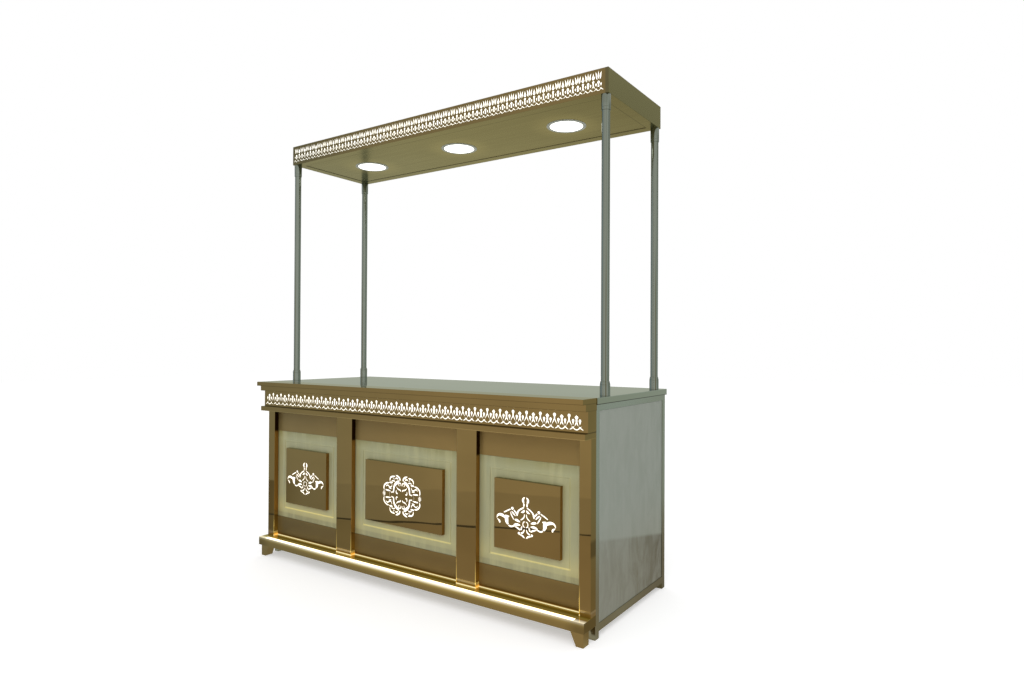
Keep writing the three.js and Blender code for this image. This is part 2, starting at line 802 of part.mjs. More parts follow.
const bays = [
  { name: 'left', middle: -sideBayMiddle, width: sideBayWidth, box: sideBoxWidth, openings: crestOpenings() },
  { name: 'centre', middle: 0, width: centreBayWidth, box: centreBoxWidth, openings: medallionOpenings() },
  { name: 'right', middle: sideBayMiddle, width: sideBayWidth, box: sideBoxWidth, openings: crestOpenings() },
];
for (const bay of bays) {
  const at = [bay.middle, 0, 0];
  addPiece(`cream_panel_${bay.name}`, creamPanel(bay.width, bay.box), creamGloss, at);
  addPiece(`raised_box_${bay.name}`, raisedBox(bay.box, bay.openings), giltMirror, at);
  addPiece(`box_opal_sheet_${bay.name}`, boxOpal(bay.box), opal, at);
}

// Plinth: a closed box of sheet with a slot in its top for the light strip
const plinthFront = frameFront - plinthReach;
const slotSide = plinthSide - stripSlotEndInset;
const slotDepth = [
  plinthFront + stripSlotFrontInset,
  plinthFront + stripSlotFrontInset + stripSlotWidth,
];
function plinth() {
  const body = solid(block([-plinthSide, plinthSide], [plinthFront, frameFront], [plinthFootHeight, plinthTop]));
  const room = solid(
    block(
      [giltSheet - plinthSide, plinthSide - giltSheet],
      [plinthFront + giltSheet, frameFront - giltSheet],
      [plinthFootHeight + giltSheet, plinthTop - giltSheet],
    ),
  );
  const slot = solid(block([-slotSide, slotSide], slotDepth, [plinthTop - giltSheet - overrun, plinthTop + overrun]));
  return geometryOf(body.subtract(room).subtract(slot));
}
addPiece('plinth', plinth(), giltMirror);
addPiece(
  'plinth_light_strip',
  block(
    [clearance - slotSide, slotSide - clearance],
    [slotDepth[0] + clearance, slotDepth[1] - clearance],
    [plinthTop - stripRecess - stripHeight, plinthTop - stripRecess],
  ),
  opal,
);

// Plinth feet, narrowing downwards on their inner side
function plinthFoot(side) {
  const outer = plinthSide - footEndInset;
  const outline = [
    [outer - footBottomWidth, 0],
    [outer, 0],
    [outer, plinthFootHeight],
    [outer - footTopWidth, plinthFootHeight],
  ];
  const points = side > 0 ? outline : mirrored(outline);
  const front = frameFront - footReach;
  return alongY(points, [front, front + footDepth]);
}
addPiece('plinth_foot_left', plinthFoot(-1), giltMirror);
addPiece('plinth_foot_right', plinthFoot(1), giltMirror);

// Posts: round tubes that stand on the worktop and carry the canopy, in a socket at each end
const postRadius = postDiameter / 2;
const socketBore = postRadius + clearance;
const lowerSocketRadius = lowerSocketDiameter / 2;
const postTube = [
  [postRadius - postWall, counterHeight],
  [postRadius, counterHeight],
  [postRadius, canopyUnderside],
  [postRadius - postWall, canopyUnderside],
];
const lowerSocketHead = counterHeight + lowerSocketHeight;
const lowerSocket = [
  [socketBore, counterHeight],
  [lowerSocketRadius, counterHeight],
  [lowerSocketRadius, lowerSocketHead - lowerSocketTaper],
  [socketLip / 2, lowerSocketHead],
  [socketBore, lowerSocketHead],
];
const upperSocket = [
  [socketBore, canopyUnderside - upperSocketHeight],
  [upperSocketLipDiameter / 2, canopyUnderside - upperSocketHeight],
  [upperSocketDiameter / 2, canopyUnderside],
  [socketBore, canopyUnderside],
];
const postAcross = canopySide - postInset;
const postPlaces = {
  front_left: [-postAcross, canopyFront + postInset, 0],
  front_right: [postAcross, canopyFront + postInset, 0],
  rear_left: [-postAcross, canopyRear - postInset, 0],
  rear_right: [postAcross, canopyRear - postInset, 0],
};
for (const [corner, at] of Object.entries(postPlaces)) {
  addPiece(`post_${corner}`, turnedRing(postTube, postSides), stainless, at);
  addPiece(`lower_socket_${corner}`, turnedRing(lowerSocket, socketSides), stainless, at);
  addPiece(`upper_socket_${corner}`, turnedRing(upperSocket, socketSides), stainless, at);
}

// Canopy shell: lid, ends and rear in one folded sheet, with a border returned under it
const fasciaBack = canopyFront + giltSheet;
const lowerSide = canopySide - soffitBorder;
function canopyShell() {
  const shell = solid(block([-canopySide, canopySide], [fasciaBack, canopyRear], [canopyUnderside, canopyTop]));
  const room = solid(
    block(
      [giltSheet - canopySide, canopySide - giltSheet],
      [fasciaBack - overrun, canopyRear - giltSheet],
      [canopyUnderside + giltSheet, canopyTop - giltSheet],
    ),
  );
  const mouth = solid(
    block(
      [-lowerSide, lowerSide],
      [canopyFront + soffitBorder, canopyRear - soffitBorder],
      [canopyUnderside - overrun, canopyUnderside + giltSheet + overrun],
    ),
  );
  return geometryOf(shell.subtract(room).subtract(mouth));
}
addPiece('canopy_shell', canopyShell(), giltSatin);

// Canopy fascia, cut through for its light
const fasciaOpenings = borderOpenings({
  row: fasciaRow,
  side: canopySide,
  endMargin: fasciaEndMargin,
  period: fasciaPeriod,
  foot: canopyUnderside + fasciaFootMargin,
  height: fasciaOrnamentHeight,
});
addPiece(
  'canopy_fascia',
  alongY(rectangle([-canopySide, canopySide], [canopyUnderside, canopyTop]), [canopyFront, fasciaBack], fasciaOpenings),
  giltMirror,
);
const fasciaOpalSide = canopySide - giltSheet - clearance;
addPiece(
  'fascia_opal_sheet',
  block(
    [-fasciaOpalSide, fasciaOpalSide],
    [fasciaBack + clearance, fasciaBack + clearance + opalThickness],
    [canopyUnderside + giltSheet, canopyTop - giltSheet - clearance],
  ),
  opal,
);

// Soffit panel, lying on the shell's border, with a round hole for each downlight
const soffitUnderside = canopyUnderside + giltSheet;
const downlightAcross = canopySide - downlightEndInset;
const downlightPlaces = { left: -downlightAcross, middle: 0, right: downlightAcross };
function soffitPanel() {
  const across = lowerSide + soffitLap;
  const depth = [canopyFront + soffitBorder - soffitLap, canopyRear - soffitBorder + soffitLap];
  let panel = solid(block([-across, across], depth, [soffitUnderside, soffitUnderside + soffitSheet]));
  for (const x of Object.values(downlightPlaces)) {
    const hole = new THREE.CylinderGeometry(
      downlightHoleDiameter / 2,
      downlightHoleDiameter / 2,
      soffitSheet + 2 * overrun,
      downlightSides,
    );
    hole.rotateX(Math.PI / 2).translate(x, canopyMiddle, soffitUnderside + soffitSheet / 2);
    panel = panel.subtract(solid(hole));
  }
  return geometryOf(panel);
}
addPiece('soffit_panel', soffitPanel(), giltSatin);

// Downlights: a trim ring and a lens under the soffit, with a can above it
const trimFoot = soffitUnderside - downlightTrimHeight;
const downlight = [
  [0, trimFoot + downlightLensRecess],
  [downlightLensDiameter / 2, trimFoot + downlightLensRecess],
  [downlightLensDiameter / 2 + downlightLensRecess, trimFoot],
  [downlightTrimDiameter / 2 - downlightTrimHeight, trimFoot],
  [downlightTrimDiameter / 2, soffitUnderside],
  [downlightCanDiameter / 2, soffitUnderside],
  [downlightCanDiameter / 2, soffitUnderside + downlightCanHeight],
  [0, soffitUnderside + downlightCanHeight],
];
for (const [name, x] of Object.entries(downlightPlaces)) {
  addPiece(`downlight_${name}`, turnedSolid(downlight, downlightSides), whitePlastic, [x, canopyMiddle, 0]);
}

// Power box on the right side panel, inside the cabinet, with a pocket for its switch
const powerBoxFace = sidePanelFace - sidePanelThickness - powerBoxSize.across;
const powerBoxHead = upperRailFoot - powerBoxTopGap;
const powerBoxRear = frameRear - tubeSide - powerBoxRearGap;
const rockerAt = [powerBoxFace, powerBoxRear - powerBoxSize.deep / 2, powerBoxHead - powerBoxSize.high / 2];
function powerBox() {
  const body = solid(
    block(
      [powerBoxFace, powerBoxFace + powerBoxSize.across],
      [powerBoxRear - powerBoxSize.deep, powerBoxRear],
      [powerBoxHead - powerBoxSize.high, powerBoxHead],
    ),
  );
  const halfWidth = rockerWidth / 2 + clearance;
  const halfLength = rockerLength / 2 + rockerEndGap;
  const pocket = solid(
    block(
      [rockerAt[0] - overrun, rockerAt[0] + rockerRoot + rockerFootGap],
      [rockerAt[1] - halfWidth, rockerAt[1] + halfWidth],
      [rockerAt[2] - halfLength, rockerAt[2] + halfLength],
    ),
  );
  return geometryOf(body.subtract(pocket));
}
addPiece('power_box', powerBox(), whitePlastic);

// Rocker switch, at rest with its upper end pressed in, turning about a line across the box
const rockerOutline = [
  [-rockerFace, -rockerLength / 2],
  [rockerHollow - rockerFace, 0],
  [-rockerFace, rockerLength / 2],
  [rockerShoulder, rockerLength / 2],
  [rockerRoot, rockerRootWidth / 2],
  [rockerRoot, -rockerRootWidth / 2],
  [rockerShoulder, -rockerLength / 2],
];
const rocker = addPiece(
  'light_switch_rocker',
  alongY(rockerOutline, [-rockerWidth / 2, rockerWidth / 2]),
  blackPlastic,
  rockerAt,
);
rocker.rotation.y = THREE.MathUtils.degToRad(rockerTilt);

export default counter;
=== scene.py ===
import math

import bmesh
import bpy
from mathutils import Matrix, Vector


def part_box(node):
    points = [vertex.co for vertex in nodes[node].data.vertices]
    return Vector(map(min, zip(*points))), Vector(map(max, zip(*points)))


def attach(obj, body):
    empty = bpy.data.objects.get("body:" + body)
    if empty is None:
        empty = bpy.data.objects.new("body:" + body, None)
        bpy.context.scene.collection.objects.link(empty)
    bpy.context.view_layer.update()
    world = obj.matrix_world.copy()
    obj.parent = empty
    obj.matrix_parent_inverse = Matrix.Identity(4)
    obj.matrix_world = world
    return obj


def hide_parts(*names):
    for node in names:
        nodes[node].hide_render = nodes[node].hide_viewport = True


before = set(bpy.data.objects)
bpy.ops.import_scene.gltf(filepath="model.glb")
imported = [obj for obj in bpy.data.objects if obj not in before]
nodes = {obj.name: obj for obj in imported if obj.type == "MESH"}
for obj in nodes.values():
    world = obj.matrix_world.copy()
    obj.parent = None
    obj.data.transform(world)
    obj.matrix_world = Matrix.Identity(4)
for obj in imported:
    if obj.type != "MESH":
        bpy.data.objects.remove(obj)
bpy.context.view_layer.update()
collection = bpy.context.scene.collection

mm = 0.001
weld = 0.00001


# Camera

camera_place = Vector((2.094, -2.510, 1.08976))
camera_angles = (34.407, 0.414, 0.273)
focal_length = 23.488


def set_camera():
    """The photograph's camera: a little above the worktop's height, to the right of the front."""
    yaw, pitch, roll = (math.radians(angle) for angle in camera_angles)
    forward = Vector((-math.sin(yaw) * math.cos(pitch), math.cos(yaw) * math.cos(pitch), math.sin(pitch)))
    across = Vector((math.cos(yaw), math.sin(yaw), 0))
    upward = across.cross(forward)
    right = across * math.cos(roll) + upward * math.sin(roll)
    up = upward * math.cos(roll) - across * math.sin(roll)
    lens = bpy.data.cameras.new("camera")
    lens.sensor_fit = "HORIZONTAL"
    lens.sensor_width = 36
    lens.lens = focal_length
    lens.clip_start = 0.05
    lens.clip_end = 100
    camera = bpy.data.objects.new("camera", lens)
    turn = Matrix((right, up, -forward)).transposed().to_4x4()
    camera.matrix_world = Matrix.Translation(camera_place) @ turn
    collection.objects.link(camera)
    bpy.context.scene.camera = camera


set_camera()


# Shader nodes

class Value:
    """One number of a shader, which takes part in arithmetic by adding Math nodes."""

    def __init__(self, paint, socket):
        self.paint = paint
        self.socket = socket

    def __add__(self, other):
        return self.paint.math("ADD", self, other)

    def __radd__(self, other):
        return self.paint.math("ADD", other, self)

    def __sub__(self, other):
        return self.paint.math("SUBTRACT", self, other)

    def __rsub__(self, other):
        return self.paint.math("SUBTRACT", other, self)

    def __mul__(self, other):
        return self.paint.math("MULTIPLY", self, other)

    def __truediv__(self, other):
        return self.paint.math("DIVIDE", self, other)


class Paint:
    """A material or a world under construction."""

    def __init__(self, name, owners=bpy.data.materials):
        self.owner = owners.new(name)
        self.owner.use_nodes = True
        self.tree = self.owner.node_tree
        self.tree.nodes.clear()

    def node(self, kind, settings=None, inputs=None):
        """A node with its settings made first, then the values and links of its sockets."""
        made = self.tree.nodes.new(kind)
        for key, value in (settings or {}).items():
            setattr(made, key, value)
        for key, value in (inputs or {}).items():
            self.feed(made.inputs[key], value)
        return made

    def feed(self, socket, value):
        """Links a socket to a value of the shader, or sets it to a number, colour or vector."""
        if isinstance(value, Value):
            self.tree.links.new(value.socket, socket)
        elif isinstance(value, bpy.types.NodeSocket):
            self.tree.links.new(value, socket)
        else:
            socket.default_value = value

    def math(self, operation, first, second):
        made = self.node("ShaderNodeMath", {"operation": operation}, {0: first, 1: second})
        return Value(self, made.outputs[0])

    def size_of(self, value):
        """A value without its sign."""
        return self.math("ABSOLUTE", value, 0)

    def place(self, scale=(1, 1, 1)):
        """Object coordinates, stretched."""
        where = self.node("ShaderNodeTexCoord").outputs["Object"]
        return self.node("ShaderNodeMapping", None, {"Vector": where, "Scale": scale}).outputs[0]

    def axis(self, name):
        """One of the object's own coordinates, in metres."""
        where = self.node("ShaderNodeTexCoord").outputs["Object"]
        return Value(self, self.node("ShaderNodeSeparateXYZ", None, {0: where}).outputs[name])

    def over(self, axis, place):
        """How far one of the object's own coordinates is over a place, in millimetres."""
        return (self.axis(axis) - place) / mm

    def noise(self, scale, stretch=(1, 1, 1), detail=2, roughness=0.5, distortion=0.0):
        made = self.node("ShaderNodeTexNoise", None, {
            "Vector": self.place(stretch), "Scale": scale, "Detail": detail, "Roughness": roughness,
            "Distortion": distortion,
        })
        return Value(self, made.outputs[0])

    def ramp(self, value, low, high, to_low=0.0, to_high=1.0):
        """A value that runs from to_low to to_high, smoothly, while another runs from low to high."""
        made = self.node("ShaderNodeMapRange", {"interpolation_type": "SMOOTHSTEP"}, {
            "Value": value, "From Min": low, "From Max": high, "To Min": to_low, "To Max": to_high,
        })
        return Value(self, made.outputs[0])

    def below(self, value, low, high):
        """1 while a value is under low, and 0 once it is over high."""
        return 1 - self.ramp(value, low, high)

    def band(self, value, low, high, soft):
        """1 while a value is between two others, and 0 outside them, with soft ends."""
        return self.ramp(value, low - soft, low) * self.below(value, high, high + soft)

    def blend(self, factor, first, second):
        """A colour between two colours."""
        made = self.node("ShaderNodeMix", {"data_type": "RGBA"}, {0: factor, 6: first, 7: second})
        return made.outputs[2]

    def tint(self, first, second):
        """Two colours multiplied."""
        settings = {"data_type": "RGBA", "blend_type": "MULTIPLY"}
        return self.node("ShaderNodeMix", settings, {0: 1.0, 6: first, 7: second}).outputs[2]

    def scale(self, value, stops):
        """A colour from a list of places along a value, each in the value's own unit and with its colour."""
        low, high = stops[0][0], stops[-1][0]
        share = self.node("ShaderNodeMapRange", None, {"Value": value, "From Min": low, "From Max": high})
        made = self.node("ShaderNodeValToRGB", None, {0: share.outputs[0]})
        points = made.color_ramp.elements
        for place, _ in stops[1:-1]:
            points.new((place - low) / (high - low))
        for point, (_, shade) in zip(points, stops):
            point.color = shade
        return made.outputs[0]

    def bump(self, height, strength, distance):
        inputs = {"Height": height, "Strength": strength, "Distance": distance}
        return self.node("ShaderNodeBump", None, inputs).outputs[0]

    def surface(self, **inputs):
        """The finished surface, from the inputs of a Principled shader."""
        names = {key.replace("_", " ").title().replace("Ior", "IOR"): value for key, value in inputs.items()}
        shader = self.node("ShaderNodeBsdfPrincipled", None, names)
        output = self.node("ShaderNodeOutputMaterial")
        self.tree.links.new(shader.outputs[0], output.inputs[0])
        return self.owner


def colour(red, green, blue):
    """A display colour of 0 to 255 as a shader colour."""
    def linear(level):
        share = level / 255
        return share / 12.92 if share <= 0.04045 else ((share + 0.055) / 1.055) ** 2.4

    return (linear(red), linear(green), linear(blue), 1)


# Places on the counter, from the boxes of its nodes

def middle_of(node):
    """The middle of a node's box."""
    low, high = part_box(node)
    return (low + high) / 2


worktop_foot, worktop_top = (corner.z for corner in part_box("worktop"))
cap_height = 20.5 * mm
cap_foot = worktop_top - cap_height
frieze_foot, step_foot = (corner.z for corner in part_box("frieze_panel"))
ledge_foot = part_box("frieze_ledge")[0].z
upper_rail_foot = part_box("front_rail_gilt_upper")[0].z
panel_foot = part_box("cream_panel_centre")[0].z
plinth_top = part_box("plinth")[1].z
plinth_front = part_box("plinth")[0].y
strip_middle = middle_of("plinth_light_strip").y
box_foot, box_head = (corner.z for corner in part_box("raised_box_centre"))
box_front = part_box("raised_box_centre")[0].y
pilaster_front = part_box("pilaster_4")[0].y
wide_inner, wide_outer = (corner.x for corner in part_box("pilaster_3"))
narrow_inner, narrow_outer = (corner.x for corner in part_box("pilaster_4"))
side_panel_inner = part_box("side_panel_right")[0].x
canopy_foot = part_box("canopy_shell")[0].z
canopy_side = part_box("canopy_shell")[1].x
soffit_low, soffit_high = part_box("soffit_panel")
groove_offset = 33 * mm
lamps = ("left", "middle", "right")


# Finishes

def even(share):
    """A grey for a socket that takes a colour."""
    return (share, share, share, 1)


black = even(0)
white = even(1)
warm_edge = (0.95, 0.93, 0.74, 1)


def gold(paint):
    """The colour of the polished gilt sheet, with a faint cloud in it."""
    cloud = paint.noise(2.6, (1, 1, 1.8), detail=3)
    return paint.blend(paint.ramp(cloud, 0.3, 0.7), colour(125, 103, 61), colour(132, 109, 65))


def polished(paint, base, roughness=0.012, glow=black, metal=1.0):
    """A metal that was rolled and polished: a mirror with a slight wave and a little dust."""
    wave = paint.noise(3.4, (0.5, 1, 2.4), detail=2)
    dust = paint.noise(70, (1, 1, 3), detail=3)
    return paint.surface(
        base_color=base, metallic=metal, roughness=paint.ramp(dust, 0.3, 0.8) * 0.02 + roughness,
        specular_tint=warm_edge, emission_color=glow, emission_strength=1.0,
        normal=paint.bump(wave, 0.25, 0.0022),
    )


def folds(paint, base):
    """Painted shadow: a darker line where the cap, the step and the frieze meet; and a painted highlight
    along the ledge's foot.
    """
    # Painted shadow where the cap, the step and the frieze meet.
    meeting_shadow = (
        paint.band(paint.over("Z", cap_foot), 0, 2, 1) * 0.5
        + paint.band(paint.over("Z", step_foot), 0, 1.7, 1) * 0.5
        + paint.band(paint.over("Z", frieze_foot), -0.5, 2.2, 1)
    )
    darker = paint.blend(meeting_shadow * 0.75, base, colour(62, 48, 28))
    # Painted highlight along the ledge's foot.
    foot = paint.band(paint.over("Z", ledge_foot), -0.5, 1.8, 0.8)
    return paint.blend(foot * 0.6, darker, colour(176, 150, 96))


def gilt_sheet():
    paint = Paint("gilt_sheet")
    return polished(paint, folds(paint, gold(paint)))


def gilt_fascia():
    """The fascia's gilt, which is a little greener than the cabinet's, with a painted reflection that
    darkens it toward the left and at its right end.
    """
    paint = Paint("gilt_fascia")
    # Painted reflection: darker toward the left and at the right end.
    left_reflection_share, right_reflection_share, end_reflection_share = (0.66, 0.76, 0.94, 1), (0.86, 0.93, 1.06, 1), (0.56, 0.72, 0.98, 1)
    tone = paint.blend(paint.ramp(paint.axis("X"), -0.95, -0.4), left_reflection_share, right_reflection_share)
    painted_reflection_tone = paint.blend(paint.ramp(paint.over("X", canopy_side), -18, -10), tone, end_reflection_share)
    return polished(paint, paint.tint(gold(paint), painted_reflection_tone))


def painted_foot_glow(paint, rise, head):
    """Painted light: a glow, as emission, along the foot of the panelled front, for the strip before it."""
    return paint.scale(rise, [
        (-2, colour(255, 250, 212)), (head - 1, colour(248, 238, 184)), (head + 1.5, colour(150, 112, 44)),
        (head + 4, black), (head + 12, black),
    ])


def foot_shade(paint, rise, head):
    """The darker band over the light at the foot."""
    return paint.scale(rise, [
        (head, (0.75, 0.6, 0.22, 1)), (head + 6, (0.74, 0.62, 0.3, 1)), (head + 13, white), (34, white),
    ])


def gilt_rail():
    """The rails above and below the cream panels are brushed, not mirrors."""
    paint = Paint("gilt_rail")
    rise = paint.over("Z", plinth_top)
    brushed = paint.noise(90, (0.05, 1, 1), detail=3)
    # Painted shade and light by height: the lower rail darker toward its foot, the upper rail brighter.
    painted_height_light = paint.blend(paint.ramp(rise, 64, 164), foot_shade(paint, rise, 5), even(1.7))
    # Painted reflection: darker and bluer toward the left.
    painted_length_reflection = paint.blend(paint.ramp(paint.axis("X"), -0.95, 0.4), (0.8, 0.87, 0.97, 1), white)
    dimmed = paint.tint(gold(paint), paint.tint(painted_height_light, even(0.7)))
    # The foot glows with painted light, as emission.
    return paint.surface(
        base_color=paint.tint(dimmed, painted_length_reflection), metallic=0.3,
        roughness=paint.ramp(brushed, 0.2, 0.8, 0.3, 0.38), specular_ior_level=0.1,
        specular_tint=warm_edge, emission_color=painted_foot_glow(paint, rise, 3.5), emission_strength=1.0,
        normal=paint.bump(brushed, 0.08, 0.0002),
    )


def gilt_pilaster():
    """The pilasters' narrow sides carry a painted reflection, paler along the panels and dark beside the
    upper rail; their edges carry painted highlights low down, and their feet painted shade and a painted
    glow.
    """
    paint = Paint("gilt_pilaster")
    rise = paint.over("Z", plinth_top)
    height = paint.axis("Z")
    reach = paint.size_of(paint.axis("X"))
    outer_side = paint.ramp(reach, narrow_outer - 2.5 * mm, narrow_outer - 0.5 * mm)
    before_end = paint.below(reach, narrow_inner + 2.5 * mm, narrow_inner + 4.5 * mm)
    behind_face = paint.ramp(paint.over("Y", pilaster_front), 0.3, 1)
    inner_side = behind_face * paint.below(reach, narrow_outer - 8 * mm, narrow_outer - 6 * mm)
    # Painted reflection on the narrow sides, by height.
    side_shade = paint.scale(height, [
        (plinth_top + 4 * mm, colour(205, 160, 92)), (panel_foot - 4.5 * mm, colour(190, 155, 95)),
        (panel_foot + 7.5 * mm, colour(166, 122, 64)), (upper_rail_foot - 7 * mm, colour(162, 118, 62)),
        (upper_rail_foot + 2 * mm, colour(54, 36, 15)),
    ])
    base = paint.blend(inner_side, gold(paint), side_shade)
    # Painted highlights along the front edges, low down.
    edges = (
        paint.band(reach, wide_inner - 0.5 * mm, wide_inner + 3.2 * mm, 1.2 * mm)
        + paint.band(reach, wide_outer - 3.2 * mm, wide_outer + 0.5 * mm, 1.2 * mm)
        + paint.band(reach, narrow_inner - 0.5 * mm, narrow_inner + 3.2 * mm, 1.2 * mm)
    )
    painted_highlight = paint.blend(edges * paint.below(rise, 4, 139), base, colour(246, 214, 122))
    # A painted dark line, a reflection, across the outer sides.
    reflected_line_foot, reflected_line_head = 0.325, 0.365
    painted_dark_line = paint.band(height, reflected_line_foot, reflected_line_head, 20 * mm) * outer_side * 0.7
    shaded = paint.tint(paint.blend(painted_dark_line, painted_highlight, colour(72, 50, 16)), foot_shade(paint, rise, 5.5))
    # Painted glow, as emission, at the foot of the inner sides.
    corner = paint.scale(rise, [
        (0, colour(255, 208, 120)), (5, colour(240, 160, 60)), (12, colour(110, 68, 18)), (20, black),
        (39, black),
    ])
    light = paint.blend(inner_side, painted_foot_glow(paint, rise, 4), corner)
    glow = paint.tint(light, paint.blend(before_end, black, white))
    return polished(paint, shaded, glow=glow, metal=paint.ramp(rise, 18, 26, 0.12, 1.0))


def gilt_box():
    paint = Paint("gilt_box")
    # Painted light on the box's sides behind its front: the top side painted dark, the others painted warm
    # and bright.
    side = paint.ramp(paint.over("Y", box_front), 0.3, 0.9)
    upper = paint.ramp(paint.over("Z", box_head), -0.8, -0.2)
    edge = paint.blend(upper, colour(154, 113, 59), colour(74, 66, 42))
    return polished(paint, paint.blend(side, gold(paint), edge))


def gilt_plinth():
    """The plinth, with painted light: a painted glow where the light strip in its top spills over it and
    down its front, painted light over its top, and painted shade at both ends.
    """
    paint = Paint("gilt_plinth")
    inward = paint.over("Y", plinth_front)
    rise = paint.over("Z", plinth_top)
    reach = paint.size_of(paint.axis("X"))
    top = paint.ramp(rise, -1.4, -0.4)
    front = paint.ramp(inward, 0.9, 0.1)
    # Painted light over the top: bright beside the strip, darker behind it.
    top_shade = paint.scale(inward, [
        (-0.5, colour(176, 150, 92)), (3.5, colour(200, 176, 106)), (27.5, colour(206, 178, 104)),
        (39.5, colour(152, 128, 72)), (51.5, colour(118, 98, 46)), (79.5, colour(112, 92, 44)),
    ])
    # The front is painted brighter toward its top edge.
    front_shade = paint.scale(rise, [
        (-26, colour(126, 104, 60)), (-16, colour(131, 109, 64)), (-8, colour(146, 124, 76)),
        (-0.5, colour(186, 166, 118)),
    ])
    base = paint.blend(front, gold(paint), front_shade)
    # Painted light, as emission: the strip's spill over the top.
    spill = paint.scale(inward, [
        (-0.5, colour(214, 206, 178)), (3, colour(232, 224, 196)), (25, colour(86, 70, 30)),
        (37.5, colour(100, 90, 44)), (49.5, colour(84, 68, 16)), (79.5, colour(70, 58, 14)),
    ])
    # Painted light, as emission: a glow down the front from its top edge.
    edge_glow = paint.scale(rise, [
        (-30, black), (-20, colour(42, 32, 4)), (-12, colour(92, 82, 40)), (-8, colour(146, 138, 104)),
        (-5, colour(182, 180, 166)), (-1.5, colour(222, 219, 210)),
    ])
    middle_share = 1 - paint.ramp(reach, 0.3, 0.95) * 0.75
    before = paint.tint(edge_glow, paint.blend(front * middle_share, black, white))
    # Painted shade at both ends.
    ends = paint.blend(paint.ramp(reach, 0.86, 0.93), white, even(0.7))
    shade = paint.tint(paint.blend(top, base, top_shade), ends)
    return polished(paint, shade, roughness=0.05, glow=paint.blend(top, before, spill))


def gilt_satin():
    """The canopy's folded sheet and its soffit: brushed gilt, with the lamps' light painted on it as a glow,
    a painted shadow along the soffit's rim, and its end faces painted darker.
    """
    paint = Paint("gilt_satin")
    across = paint.axis("X")
    depth = paint.axis("Y")
    rise = paint.over("Z", canopy_foot)
    reach = paint.size_of(across)
    brushed = paint.noise(90, (0.04, 1, 1), detail=3)
    cloud = paint.noise(1.6, detail=3)
    under = paint.scale(across, [
        (-0.95, colour(127, 126, 106)), (-0.5, colour(140, 136, 107)), (0.1, colour(146, 138, 101)),
        (0.6, colour(138, 129, 92)), (0.95, colour(125, 116, 79)),
    ])
    shaded = paint.blend(paint.ramp(cloud, 0.3, 0.7) * 0.25, under, colour(136, 128, 92))
    # The end faces are painted darker.
    end = paint.ramp(reach, canopy_side - 1.2 * mm, canopy_side - 0.6 * mm)
    panelled = paint.blend(end, shaded, colour(118, 113, 80))
    inset = 7 * mm
    glow_start, glow_end = 75 * mm, 190 * mm
    # Painted shadow along the soffit's rim.
    inside_rim = paint.below(reach, soffit_high.x - inset, soffit_high.x - inset + 1 * mm)
    within_depth = paint.band(depth, soffit_low.y + inset, soffit_high.y - inset, 1 * mm)
    rim_shadow = inside_rim * within_depth * paint.below(rise, 0.3, 0.8)
    base = paint.blend(rim_shadow * 0.8, panelled, colour(66, 56, 34))
    # Painted light: a glow around each lamp, as emission.
    glow_rings = []
    for lamp in lamps:
        middle = middle_of(f"downlight_{lamp}")
        aside = across - middle.x
        behind = depth - middle.y
        away = paint.math("SQRT", aside * aside + behind * behind, 0)
        glow_rings.append(paint.below(away, glow_start, glow_end))
    light = paint.blend(sum(glow_rings) * paint.below(rise, 3, 3.5), black, colour(58, 52, 30))
    return paint.surface(
        base_color=base, metallic=1.0, roughness=paint.ramp(brushed, 0.2, 0.8, 0.2, 0.3),
        specular_tint=warm_edge, emission_color=light, emission_strength=1.0,
        normal=paint.bump(brushed, 0.1, 0.0003),
    )


def brushed_steel(name, base_of):
    paint = Paint(name)
    brushed = paint.noise(120, (1, 1, 0.03), detail=3)
    return paint.surface(
        base_color=base_of(paint), metallic=1.0, roughness=paint.ramp(brushed, 0.2, 0.8, 0.12, 0.22),
        normal=paint.bump(brushed, 0.06, 0.0002),
    )


def frame_shade(paint):
    """The frame's steel, with painted shade: a little warmer and darker toward its foot, and darker toward
    the rear low down.
    """
    height = paint.axis("Z")
    cloud = paint.noise(4, (1, 1, 0.5), detail=2)
    # Painted shade: darker and warmer toward the foot.
    tone = paint.scale(height, [
        (0.0, colour(138, 132, 106)), (0.2, colour(140, 136, 114)), (0.4, colour(152, 157, 143)),
        (0.9, colour(156, 163, 150)),
    ])
    steel = paint.blend(paint.ramp(cloud, 0.3, 0.7) * 0.4, tone, colour(146, 150, 134))
    # Painted shade toward the rear, low down.
    rear_shade_share = paint.blend(paint.ramp(height, 0.12, 0.5), (0.55, 0.52, 0.44, 1), (0.84, 0.82, 0.74, 1))
    painted_rear_shade = paint.blend(paint.ramp(paint.axis("Y"), -0.1, 0.4), white, rear_shade_share)
    return paint.tint(steel, painted_rear_shade)


def post_shade(middle, dark_side):
    """The steel of one post and its sockets: painted reflections, as soft streaks that run its whole length
    by angle, and a painted dark line on one side, strongest low down.
    """
    line_width, line_softness = 0.1, 0.1
    reflected_line_foot, reflected_line_head = 1.25, 1.6

    def shade(paint):
        turn = paint.math("ARCTAN2", paint.axis("Y") - middle.y, paint.axis("X") - middle.x)
        # Painted reflections, as streaks by angle.
        streaks = paint.scale(turn, [
            (-math.pi, colour(119, 125, 114)), (-2.5, colour(126, 133, 123)), (-1.9, colour(116, 122, 111)),
            (-1.45, colour(123, 128, 116)), (-0.9, colour(130, 137, 126)), (0.0, colour(126, 132, 121)),
            (1.6, colour(130, 135, 125)), (math.pi, colour(119, 125, 114)),
        ])
        # A painted dark line, a reflection, on the post's dark side, strongest low down.
        line = paint.band(turn, dark_side - line_width / 2, dark_side + line_width / 2, line_softness)
        lower = paint.below(paint.axis("Z"), reflected_line_foot, reflected_line_head)
        return paint.blend(line * (lower * 0.65 + 0.25), streaks, colour(84, 78, 48))

    return shade


